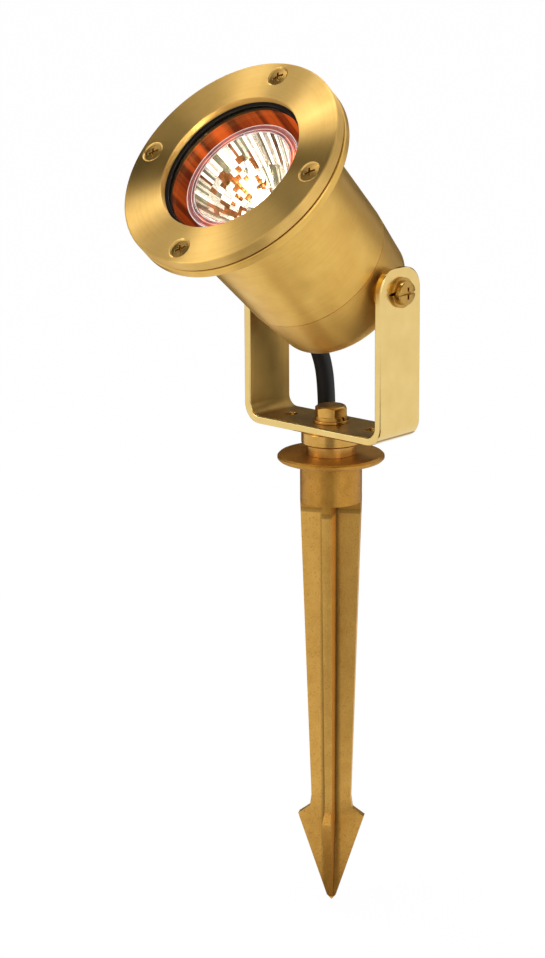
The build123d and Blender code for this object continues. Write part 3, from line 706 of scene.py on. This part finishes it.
def spun(outline: list[tuple[float, float]], steps: int, closed: bool) -> BMesh:
    """Turn an outline of (radius, depth) points about the head's axis.

    Args:
        outline: the points, in metres, with depth behind the bezel's face.
        steps: faces round the axis.
        closed: whether the last point joins the first.

    Returns:
        The shell, in the row's frame.
    """
    shape = bmesh.new()
    verts = [shape.verts.new((radius, 0, HEAD.front - depth)) for radius, depth in outline]
    pairs = list(zip(verts, verts[1:]))
    if closed:
        pairs.append((verts[-1], verts[0]))
    edges = [shape.edges.new(pair) for pair in pairs]
    bmesh.ops.spin(
        shape, geom=verts + edges, cent=(0, 0, 0), axis=(0, 0, 1), dvec=(0, 0, 0),
        angle=2 * math.pi, steps=steps, use_merge=True, use_duplicate=False,
    )
    bmesh.ops.remove_doubles(shape, verts=shape.verts, dist=WELD)
    bmesh.ops.recalc_face_normals(shape, faces=shape.faces)
    bmesh.ops.transform(shape, matrix=HEAD.matrix, verts=shape.verts)
    return shape


def studio_sheet(name: str, length: float, width: float, place: Matrix, material: Material) -> Object:
    """Make a flat sheet that belongs to the studio.

    Args:
        name: the sheet's name.
        length: of its side along its own x.
        width: of its side along its own y.
        place: its middle and its directions.
        material: its finish.

    Returns:
        The sheet.
    """
    shape = bmesh.new()
    bmesh.ops.create_grid(shape, x_segments=1, y_segments=1, size=0.5)
    bmesh.ops.scale(shape, vec=(length, width, 1), verts=shape.verts)
    bmesh.ops.transform(shape, matrix=place, verts=shape.verts)
    mesh = bpy.data.meshes.new(name)
    shape.to_mesh(mesh)
    shape.free()
    mesh.materials.append(material)
    sheet = bpy.data.objects.new(name, mesh)
    bpy.context.scene.collection.objects.link(sheet)
    LOG.info("%s: sheet of %.2f by %.2f m", name, length, width)
    return sheet


# ---- sub-assemblies ----


@dataclass
class CableTail:
    """The rubber flex from the gland down behind the spike, with its stripped ends."""

    diameter: float = 0.0075
    length: float = 0.2181  # of its centre line, from inside the housing to the cut sheath
    gland_x: float = -0.018006  # the gland's place across the head
    gland_y: float = -0.012986  # the gland's place up the head's rear face
    inside_depth: float = 0.0843  # depth of the sheath's inner end
    straight_depth: float = 0.0976  # depth to which the gland holds the cable straight
    leave_depth: float = 0.1061  # depth of the route's first free point
    bend_from: int = 2  # number of the route's point where the cable would begin to bend as the head tilts
    bend_to: int = 5  # number of the point where that bend would end
    cores_edge_mm: float = 0.15
    strands_edge_mm: float = 0.1
    # Extruded rubber: near black, with one soft dull light along the cable.
    rubber: SpeckledFinish = SpeckledFinish(
        "Black rubber sheath", "#101011", "#08080A", 0.5, ior=1.4, grain_mm=0.8
    )
    # Extruded plastic: plain brown with a small waxy light.
    insulation: SpeckledFinish = SpeckledFinish(
        "Brown core insulation", "#5A2E1A", "#43200F", 0.35, grain_mm=1.2
    )
    # Drawn copper, bare: salmon red, the one red metal here.
    copper: SpeckledFinish = SpeckledFinish(
        "Bare copper strands", "#D9895A", "#9A5532", 0.3, True, grain_mm=0.4, grain_depth_mm=0.05
    )

    def route(self) -> list[Vector]:
        """List the points that the cable's spline follows.

        Returns:
            The points, from inside the housing to the cut end.
        """
        depths = (self.inside_depth, self.straight_depth, self.leave_depth)
        points = [HEAD.point(self.gland_x, self.gland_y, depth) for depth in depths]
        free = [
            (-0.0182, 0.0136, 0.0412),
            (-0.0182, 0.0165, 0.0332),
            (-0.0184, 0.0180, 0.0236),
            (-0.0188, 0.0189, 0.0104),
            (-0.0191, 0.0192, -0.0060),
            (-0.0187, 0.0191, -0.0340),
            (-0.0179, 0.0186, -0.0640),
            (-0.0172, 0.0179, -0.0950),
            (-0.0170, 0.0173, -0.1220),
            (-0.0171, 0.0170, -0.1460),
        ]
        return points + [Vector(point) for point in free]

    def spline_data(self) -> bpy.types.Curve:
        """Make the cable's smooth line.

        Returns:
            The line as curve data, with no thickness.
        """
        route = self.route()
        curve = bpy.data.curves.new("flex_cable_line", "CURVE")
        curve.dimensions = "3D"
        spline = curve.splines.new("NURBS")
        spline.points.add(len(route) - 1)
        for point, place in zip(spline.points, route):
            point.co = (*place, 1.0)
        spline.order_u = 3
        spline.use_endpoint_u = True
        spline.resolution_u = 12
        return curve

    def build(self) -> None:
        """Make the sheath, the cores and the strands."""
        curve = self.spline_data()
        line = bpy.data.objects.new("flex_cable_line", curve)
        bpy.context.scene.collection.objects.link(line)
        thin = bpy.data.meshes.new_from_object(line)
        curve.bevel_depth = self.diameter / 2
        curve.bevel_resolution = 8
        curve.use_fill_caps = True
        bpy.context.view_layer.update()
        thick = line.evaluated_get(bpy.context.evaluated_depsgraph_get())
        shape = bmesh.new()
        shape.from_mesh(bpy.data.meshes.new_from_object(thick))
        bpy.data.objects.remove(line)
        bpy.data.meshes.remove(thin)
        bmesh.ops.remove_doubles(shape, verts=shape.verts, dist=WELD)
        for face in shape.faces:
            face.smooth = len(face.verts) == 4
        sheath = placed(shape, "flex_cable_sheath", self.rubber.build(), None)
        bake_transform(sheath)
        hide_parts("flex_cable")
        cores = machined_copy("cable_cores", self.cores_edge_mm, self.insulation.build(), "yoke")
        strands = machined_copy("core_strands", self.strands_edge_mm, self.copper.build(), "yoke")


@dataclass
class GroundSpike:
    """The cast spike."""

    edge_mm: float = 0.7  # rounding that the sand leaves on its corners
    # Cast in sand: no mirror lights, only a soft brown-gold with grain and pits.
    finish: CastBrass = CastBrass("Sand-cast brass")

    def build(self) -> None:
        """Make the spike."""
        machined_copy("ground_spike", self.edge_mm, self.finish.build(), "spike")


@dataclass
class Stem:
    """Adaptor, bolt and washers on top of the spike."""

    edge_mm: float = 0.18
    thin_edge_mm: float = 0.144
    # Fine turned and the smoothest brass on the lamp: bright upright bands on the collar.
    turned: TurnedBrass = TurnedBrass(
        "Turned brass stem", "#DDB062", "#A8782F", 0.26, 0.5, lay=Lay.ROUND_STEM
    )
    # Cut from hexagon bar and a little browned: each flat is plainly light or dark.
    bolt: TurnedBrass = TurnedBrass("Bolt brass", "#DDAC58", "#9A6E2C", 0.34, 0.3, lay=Lay.ROUND_STEM)

    def build(self) -> None:
        """Make the turned adaptor, the bolt and its two washers."""
        turned, bolt = self.turned.build(), self.bolt.build()
        for node, edge_mm, finish in (
            ("stem_adaptor", self.edge_mm, turned),
            ("stem_bolt", self.edge_mm, bolt),
            ("bolt_flat_washer", self.edge_mm, turned),
            ("bolt_spring_washer", self.thin_edge_mm, bolt),
        ):
            machined_copy(node, edge_mm, finish, "spike")


@dataclass
class Yoke:
    """The bent strip that carries the head."""

    edge_mm: float = 0.25
    corner_deg: float = 22.0  # an edge sharper than this is a corner
    half_span: float = 0.0371  # from the middle to the outside of an arm
    thickness: float = 0.0034
    bottom: float = 0.0125  # height of the base's underside
    edge_on: float = 0.5  # a face that looks along Y by more than this is the strip's edge
    # Buffed on a wheel: near a mirror, so the flats take the pale gold of what they face.
    outside: RolledBrass = RolledBrass("Polished rolled brass", "#E9CB85", "#DDBB70", 0.2)
    # As it came from the bend, where the wheel can't reach; its brown is painted shade, with no clear
    # highlight.
    inside: RolledBrass = RolledBrass(
        "Dull brass with painted shade inside the bend", "#A98645", "#7A5C2C", 0.38, wave_mm=14.0
    )

    def build(self) -> None:
        """Make the yoke, polished outside, and dull with painted shade inside."""
        piece = machined_copy(
            "yoke_bracket", self.edge_mm, self.outside.build(), "yoke", corner_deg=self.corner_deg
        )
        # the inside's dull finish carries painted shade on the faces that look into the U
        piece.data.materials.append(self.inside.build())
        for polygon in piece.data.polygons:
            if self.faces_inwards(polygon):
                polygon.material_index = 1

    def faces_inwards(self, polygon: bpy.types.MeshPolygon) -> bool:
        """Tell whether a face looks into the U.

        Args:
            polygon: a face of the yoke.

        Returns:
            True on the arms' inner sides, the base's top and the inside of the bends.
        """
        x, _, z = polygon.center
        middle = self.thickness / 2
        within = abs(x) < self.half_span - middle and z > self.bottom + middle
        return within and abs(polygon.normal.y) < self.edge_on


@dataclass
class LampHead:
    """Bezel, lens, gasket, barrel, rear housing and screws."""

    edge_mm: float = 0.3
    bezel_screw_edge_mm: float = 0.12
    pivot_edge_mm: float = 0.15
    gland_edge_mm: float = 0.2
    rubber_edge_mm: float = 0.06
    bore_radius: float = 0.0318  # what lies inside this and faces the axis is the bore
    # Brushed in rings: light and dark wedges stand about the middle like a bow tie.
    bezel: TurnedBrass = TurnedBrass(
        "Circular brushed bezel brass", "#E8C070", "#CDA050", 0.4, 1.0, line_mm=0.45
    )
    # Satin turned: broad soft bands of light along the barrel.
    barrel: TurnedBrass = TurnedBrass(
        "Satin turned barrel brass", "#E8BE66", "#CE9F4C", 0.36, 0.6, line_mm=0.4
    )
    # Pressed and handled: browner than what they hold, so each head stands out as a dark disc.
    screws: TurnedBrass = TurnedBrass("Screw brass", "#CBA256", "#8A672F", 0.28, 0.0, line_mm=0.5)
    # Painted shade and a painted glow for the lamp's orange spill: dark orange with brighter streaks.
    bore: GlowingFinish = GlowingFinish(
        "Bore brass with painted shade and glow", "#4E2410", "#F2641E", 0.8, 0.4, streak=0.94, streaks=17.0
    )
    # Moulded rubber: a matt black ring that takes almost no light.
    rubber: SpeckledFinish = SpeckledFinish(
        "Black gasket rubber", "#171312", "#0B0909", 0.75, ior=1.25, grain_mm=0.5
    )
    # Polished flat glass: all but unseen, apart from a faint sheen.
    glass: ClearGlass = ClearGlass("Clear lens glass", "#FBFDFC")

    def build(self) -> None:
        """Make the head's shell and what closes it."""
        bezel, barrel, screw, rubber = (
            finish.build() for finish in (self.bezel, self.barrel, self.screws, self.rubber)
        )
        pieces = {}
        for node, edge_mm, finish, merge_flats in (
            ("bezel_ring", self.edge_mm, bezel, False),
            ("bezel_screws", self.bezel_screw_edge_mm, screw, True),
            ("barrel", self.edge_mm, barrel, False),
            ("rear_housing", self.edge_mm, barrel, False),
            ("lens_gasket", self.rubber_edge_mm, rubber, True),
            ("pivot_screws", self.pivot_edge_mm, screw, True),
            ("pivot_lock_washers", self.pivot_edge_mm, screw, True),
            ("gland_body", self.gland_edge_mm, barrel, True),
            ("gland_nut", self.gland_edge_mm, barrel, True),
        ):
            pieces[node] = machined_copy(node, edge_mm, finish, "head", merge_flats)
        self.paint_bore_shade_and_glow(pieces["barrel"])
        dress("lens_glass", self.glass.build())
        dress("pivot_spacers", barrel)
        for node in ("body_oring", "gland_seal"):
            dress(node, rubber)

    def paint_bore_shade_and_glow(self, barrel: Object) -> None:
        """Give the barrel's inside its own finish, with painted shade and a painted glow.

        Args:
            barrel: the barrel.
        """
        barrel.data.materials.append(self.bore.build())
        to_head = HEAD.matrix.inverted()
        for polygon in barrel.data.polygons:
            across = (to_head @ polygon.center).xy
            facing = (to_head.to_3x3() @ polygon.normal).xy.dot(across)
            if across.length < self.bore_radius and facing < 0:
                polygon.material_index = 1


@dataclass
class ReflectorLamp:
    """The 50 mm lamp: faceted bowl, thick glass rim, capsule, base, pins, holder and leads."""

    rim_radius: float = 0.02535
    rim_width: float = 0.0026  # width of the rim's flat face
    lip: float = 0.0012  # how far the rim's glass reaches in over the mirror
    rim_thick: float = 0.0024
    front_depth: float = 0.0116  # the rim's face, behind the bezel's
    bowl_depth: float = 0.0235  # from the rim to the neck
    rim_step: float = 0.0004  # bowl's wall at the rim
    rim_round: float = 0.0009  # radius of the rim's front edges
    round_steps: int = 5
    bead: float = 0.00011  # radius of the thin beads pressed into the rim
    bead_sides: int = 6
    bead_radii: tuple[float, ...] = (0.0217, 0.0230, 0.02505)  # where the beads run
    neck_radius: float = 0.0064
    glass_thick: float = 0.0017  # wall at the neck
    glass_bands: int = 12  # steps along the bowl's wall
    power: float = 2.2  # fullness of the bowl's curve
    facets: int = 100
    bands: int = 15  # rings of facets
    coat: float = 0.0002  # how far the mirror stands off the glass
    uneven: float = 0.00012  # how far the facets' corners are out of true
    uneven_length: float = 0.0012  # over what length that changes
    seed: int = 11
    streak_bands: int = 5  # rings of facets that a streak crosses
    patch_columns: int = 2  # facets side by side that share a tint in the patch
    # Shares of plain, amber, lit and shaded streaks.
    tint_weights: tuple[float, ...] = (0.44, 0.08, 0.22, 0.26)
    # The same where the mirror shows the capsule's base.
    patch_weights: tuple[float, ...] = (0.30, 0.46, 0.20, 0.04)
    # Where that patch runs, as shares of the way from mouth to neck.
    patch_band: tuple[float, float] = (0.18, 0.74)
    patch_turn_deg: float = 172.0  # the patch's middle, round the lamp
    patch_half_deg: float = 50.0  # half the patch's width
    coats: tuple[Finish, ...] = (
        # A vacuum-laid mirror on pressed glass: near white, and broken up by its facets.
        SpeckledFinish("Dichroic mirror coat", "#F6F4F0", "#D8D2C6", 0.24, True, grain_mm=3.0),
        # The same mirror where it shows the capsule's base: amber to brown squares.
        SpeckledFinish("Amber mirror facets", "#A8683A", "#6A3E1E", 0.16, True, grain_mm=3.0),
        # The same mirror where it shows the filament: facets with a bluish white light of their own.
        GlowingFinish("Facets that catch the filament", "#F4F2EE", "#F2F6FF", 0.7, 0.2),
        # The same mirror where it shows the dark of the head: grey-green streaks.
        SpeckledFinish("Shaded mirror facets", "#A8A690", "#7C765E", 0.2, True, grain_mm=3.0),
    )
    # Pressed clear glass: a thick see-through ring with a faint lilac in its rounded edges and a faint
    # painted lilac glow.
    rim_glass: GlowingFinish = GlowingFinish(
        "Lilac rim glass with painted glow", "#FBEFF4", "#E8CFDC", 0.05, 0.02, clear=1.0
    )
    # Beads pressed into that glass: thin bright lines round the rim.
    beads: GlowingFinish = GlowingFinish(
        "Rim beads that catch the light", "#F2E8E4", "#EFE0DC", 0.5, 0.2
    )
    # Pressed glass that leaks the light which the mirror coat lets through: streaky orange.
    bowl_glass: GlowingFinish = GlowingFinish(
        "Warm-lit bowl glass", "#8A3A1E", "#FF6A24", 2.4, 0.25, streak=0.9
    )
    # Fused quartz round a lit filament: plain warm white, too bright to show a surface.
    capsule: GlowingFinish = GlowingFinish("Lit quartz capsule", "#FFFFFF", "#FFF1DA", 45.0)
    # Fired and left unglazed: chalky cream with no highlight.
    ceramic: SpeckledFinish = SpeckledFinish(
        "Unglazed ceramic", "#E9E4D8", "#CFC8B8", 0.7, grain_mm=0.9, grain_depth_mm=0.02
    )
    # Zinc-plated sheet: pale grey with a dull shine.
    steel: SpeckledFinish = SpeckledFinish(
        "Zinc-plated steel", "#BFC0BE", "#8F908E", 0.35, True, grain_mm=2.0
    )
    # Braided glass yarn: off-white and dry, with the threads drawn 0.5 mm apart so that they show.
    sleeve: SpeckledFinish = SpeckledFinish(
        "Woven glass-fibre sleeve", "#E2DFD6", "#B9B4A6", 0.8, grain_mm=0.5, grain_depth_mm=0.08
    )

    def make_mirror(self, mouth: float) -> None:
        """Make the faceted mirror inside the bowl, each facet a little out of true.

        Args:
            mouth: the mirror's radius at the rim.
        """
        neck = self.neck_radius - self.coat
        points = self.bowl(mouth - self.coat, self.front_depth, neck, self.bands)
        shape = spun(points, self.facets, False)
        for vert in shape.verts:
            vert.co += vert.normal * self.uneven * noise.noise(vert.co / self.uneven_length)
        tints = self.tint_facets(shape, mouth)
        for face in shape.faces:
            face.smooth = False
        coats = [coat.build() for coat in self.coats]
        mirror = placed(shape, "bowl_facets", coats[0], "head")
        for coat in coats[1:]:
            mirror.data.materials.append(coat)
        for polygon, tint in zip(mirror.data.polygons, tints):
            polygon.material_index = tint

    def tint_facets(self, shape: BMesh, mouth: float) -> list[int]:
        """Pick what each facet shows: a part of a long streak, or a square in the patch.

        Args:
            shape: the mirror, in the row's frame.
            mouth: its radius at the rim.

        Returns:
            The number of each face's coat.
        """
        to_head = HEAD.matrix.inverted()
        step = 360 / self.facets
        low, high = self.patch_band
        tints = []
        for face in shape.faces:
            across = (to_head @ face.calc_center_median()).xy
            share = (mouth - across.length) / (mouth - self.neck_radius)
            turn = math.degrees(math.atan2(across.y, across.x)) % 360
            in_patch = low < share < high and abs(turn - self.patch_turn_deg) < self.patch_half_deg
            column, band = int(turn / step), int(share * self.bands)
            streak, square = (column, band // self.streak_bands), (column // self.patch_columns, band)
            place = square if in_patch else streak
            weights = self.patch_weights if in_patch else self.tint_weights
            pick = random.Random(f"{self.seed} {in_patch} {place}")
            tints.append(pick.choices(range(len(weights)), weights)[0])
        return tints

    def make_rim(self, inner: float) -> None:
        """Make the thick clear rim of the bowl, with its rounded front edge.

        Args:
            inner: inside of the rim.
        """
        back = self.front_depth + self.rim_thick
        edge = self.rim_round
        outline = [(inner, back)]
        for middle, first in ((inner + edge, 180), (self.rim_radius - edge, 270)):
            for step in range(self.round_steps + 1):
                turn = math.radians(first + 90 * step / self.round_steps)
                depth = self.front_depth + edge + edge * math.sin(turn)
                outline.append((middle + edge * math.cos(turn), depth))
        outline.append((self.rim_radius, back))
        placed(spun(outline, GLASS_STEPS, True), "lamp_rim", self.rim_glass.build(), "head", smooth=True)

    def make_beads(self) -> None:
        """Make the thin beads on the rim's face."""
        beads = bmesh.new()
        for radius in self.bead_radii:
            ring = []
            for side in range(self.bead_sides):
                turn = 2 * math.pi * side / self.bead_sides
                depth = self.front_depth + self.bead * math.sin(turn)
                ring.append((radius + self.bead * math.cos(turn), depth))
            part = spun(ring, GLASS_STEPS, True)
            mesh = bpy.data.meshes.new("bead")
            part.to_mesh(mesh)
            part.free()
            beads.from_mesh(mesh)
            bpy.data.meshes.remove(mesh)
        placed(beads, "rim_beads", self.beads.build(), "head", smooth=True)

    def bowl(self, mouth: float, start: float, neck: float, bands: int) -> list[tuple[float, float]]:
        """Work out the bowl's curve.

        Args:
            mouth: radius at the front.
            start: depth of the front.
            neck: radius at the neck.
            bands: steps along the curve.

        Returns:
            (radius, depth) points from the mouth to the neck.
        """
        end = self.front_depth + self.bowl_depth
        points = []
        for step in range(bands + 1):
            share = step / bands
            depth = start + (end - start) * (1 - (1 - share) ** self.power)
            points.append((mouth + (neck - mouth) * share, depth))
        return points

    def make_bowl(self, inner: float) -> None:
        """Make the bowl's glass, which stands in for the plain reflector.

        Args:
            inner: inside of the bowl at the rim.
        """
        neck = self.neck_radius + self.glass_thick
        start = self.front_depth + self.rim_thick
        outline = self.bowl(inner, start, self.neck_radius, self.glass_bands)
        outside = self.bowl(inner + self.rim_step, start + self.rim_step, neck, self.glass_bands)
        shape = spun(outline + outside[::-1], GLASS_STEPS, True)
        bowl = placed(shape, "lamp_bowl", self.bowl_glass.build(), "head", smooth=True)
        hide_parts("lamp_reflector")

    def build(self) -> None:
        """Make the lamp."""
        inner = self.rim_radius - self.rim_width
        self.make_mirror(inner - self.lip)
        self.make_rim(inner - self.lip)
        self.make_beads()
        self.make_bowl(inner)
        for finish, nodes in (
            (self.capsule, ("lamp_capsule",)),
            (self.ceramic, ("lamp_base", "lampholder")),
            (self.steel, ("lamp_pins", "lampholder_bracket", "lampholder_screws")),
            (self.sleeve, ("lead_wires",)),
        ):
            material = finish.build()
            for node in nodes:
                dress(node, material)


# ---- studio and camera ----


@dataclass
class PhotoCamera:
    """The photograph's camera."""

    azimuth_deg: float = 42.37  # round the lamp, from its front towards +X
    elevation_deg: float = 14.608  # above the horizon
    roll_deg: float = 0.377
    distance: float = 1.18784
    shift_right: float = -0.02416  # the line of sight's distance from the spike's axis, to the right
    shift_up: float = -0.01078  # its distance above the middle, along the picture's up
    origin_z: float = 0.0025  # height that the shifts are counted from
    lens_mm: float = 108.07
    sensor_mm: float = 36.0
    nearest: float = 0.05  # nothing nearer than this is seen
    furthest: float = 50.0  # nothing further than this is seen

    def build(self) -> None:
        """Make the scene's camera."""
        azimuth, elevation = math.radians(self.azimuth_deg), math.radians(self.elevation_deg)
        right = Vector((math.cos(azimuth), math.sin(azimuth), 0))
        level = Vector((math.sin(azimuth), -math.cos(azimuth), 0))
        back = level * math.cos(elevation) + Vector((0, 0, math.sin(elevation)))
        up = back.cross(right)
        roll = math.radians(self.roll_deg)
        turned_right = right * math.cos(roll) - up * math.sin(roll)
        turned_up = right * math.sin(roll) + up * math.cos(roll)
        place = turned_right * self.shift_right + turned_up * self.shift_up + back * self.distance
        place.z += self.origin_z
        rotation = Matrix((turned_right, turned_up, back)).transposed()
        data = bpy.data.cameras.new("photo_camera")
        data.lens = self.lens_mm
        data.sensor_width = self.sensor_mm
        data.clip_start = self.nearest
        data.clip_end = self.furthest
        camera = bpy.data.objects.new("photo_camera", data)
        camera.matrix_world = Matrix.Translation(place) @ rotation.to_4x4()
        bpy.context.scene.collection.objects.link(camera)
        bpy.context.scene.camera = camera
        LOG.info("camera at %s", tuple(round(v, 3) for v in place))


@dataclass(frozen=True)
class Softbox:
    """One soft white studio light, out of the picture."""

    name: str
    towards: tuple[float, float, float]  # direction from the lamp head to the light
    distance: float
    width: float
    height: float
    watts: float

    def build(self, target: Vector) -> None:
        """Hang the light and aim it at the target.

        Args:
            target: the point that it faces.
        """
        data = bpy.data.lights.new(self.name, "AREA")
        data.shape = "RECTANGLE"
        data.size = self.width
        data.size_y = self.height
        data.energy = self.watts
        light = bpy.data.objects.new(self.name, data)
        way = Vector(self.towards).normalized()
        light.rotation_mode = "QUATERNION"
        light.rotation_quaternion = way.to_track_quat("Z", "Y")
        light.location = target + way * self.distance
        light.visible_camera = False
        bpy.context.scene.collection.objects.link(light)


@dataclass(frozen=True)
class DarkCard:
    """A dark card, out of the picture, whose mirror image gives the brass its dark wedges."""

    name: str
    towards: tuple[float, float, float]  # direction from the lamp head to the card's middle
    along: tuple[float, float, float]  # direction of its long side
    distance: float
    length: float
    width: float
    colour: str = "#1C1A18"

    def build(self, target: Vector) -> None:
        """Hang the card square to the target.

        Args:
            target: the point that it faces.
        """
        out = Vector(self.towards).normalized()
        side = Vector(self.along)
        side = (side - out * side.dot(out)).normalized()
        turn = Matrix((side, out.cross(side), out)).transposed()
        place = Matrix.Translation(target + out * self.distance) @ turn.to_4x4()
        # Matt card: a plain dark patch in the brass, with no light of its own.
        finish = Paper("Dark card " + self.name, self.colour)
        card = studio_sheet(self.name, self.length, self.width, place, finish.build())
        card.visible_camera = False
        card.visible_shadow = False
        card.visible_diffuse = False


@dataclass
class Studio:
    """White floor and surroundings, soft lights and dark cards."""

    floor_z: float = -0.1958  # height of the floor, just under the spike's point
    floor_side: float = 24.0
    aim: tuple[float, float, float] = (0.0, -0.03, 0.09)  # point that the lights and cards face
    # Matt paper that reads as the photograph's plain white, with the lamp's shadow faint on it.
    floor: Paper = Paper("White studio paper", "#F2F2F2", white=0.95)

    def build(self) -> None:
        """Make the floor, the world, the lights and the cards."""
        place = Matrix.Translation((0, 0, self.floor_z))
        studio_sheet("studio_floor", self.floor_side, self.floor_side, place, self.floor.build())
        self.paint_world()
        over, up, low = (0.726, -0.494, 0.479), (0.0, 0.0, 1.0), (0.47, -0.52, -0.71)
        for piece in (
            Softbox("overhead_light", (-0.35, -0.03, 0.93), 0.9, 0.30, 0.30, 1.7),
            Softbox("front_left_light", (-0.47, -0.76, 0.44), 1.1, 0.40, 0.40, 2.2),
            Softbox("right_light", (0.95, -0.25, 0.35), 1.2, 0.25, 0.90, 2.0),
            DarkCard("overhead", (-0.62, -0.32, 0.72), over, 1.3, 3.0, 0.42),
            DarkCard("over_front", (0.10, -0.28, 0.95), over, 1.3, 1.4, 1.3),
            DarkCard("left", (-0.96, 0.08, 0.22), up, 1.3, 0.65, 0.65),
            DarkCard("back_left", (-0.64, 0.76, -0.01), (0.76, 0.64, 0.0), 0.55, 0.9, 0.53, "#3A332A"),
            DarkCard("low_left", (-0.75, 0.40, -0.50), (0.47, 0.88, 0.0), 0.45, 0.40, 0.30, "#5A4E3E"),
            DarkCard("back", (0.22, 0.97, 0.02), (0.97, -0.22, 0.0), 0.8, 0.26, 0.50, "#6E614E"),
            # Painted shade: a card under the point stands in for the floor's shade there, seen only in the
            # barbs.
            DarkCard("shade_under_point", (0.0, 0.06, -1.0), (1.0, 0.0, 0.0), 0.285, 0.07, 0.07, "#9A8C76"),
            DarkCard("low_front_right", low, (0.79, 0.53, 0.0), 0.33, 0.20, 0.26, "#2C261E"),
        ):
            piece.build(Vector(self.aim))

    def paint_world(self) -> None:
        """Surround the lamp with plain white, which metal and glass show as the camera does."""
        world = bpy.data.worlds.new("studio")
        bpy.context.scene.world = world
        world.use_nodes = True
        world.node_tree.nodes.clear()
        back = add_node(world.node_tree, "Background", {"Color": WHITE, "Strength": 1.0})
        add_node(world.node_tree, "OutputWorld", {"Surface": back})


def main() -> None:
    """Build the camera and the cable first, then the lamp and the studio."""
    logging.basicConfig(level=logging.INFO, format="%(message)s")
    bpy.context.scene.view_settings.view_transform = "Standard"
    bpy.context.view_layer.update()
    PhotoCamera().build()
    CableTail().build()
    for assembly in (GroundSpike(), Stem(), Yoke(), LampHead(), ReflectorLamp(), Studio()):
        assembly.build()


if __name__ == "__main__":
    main()
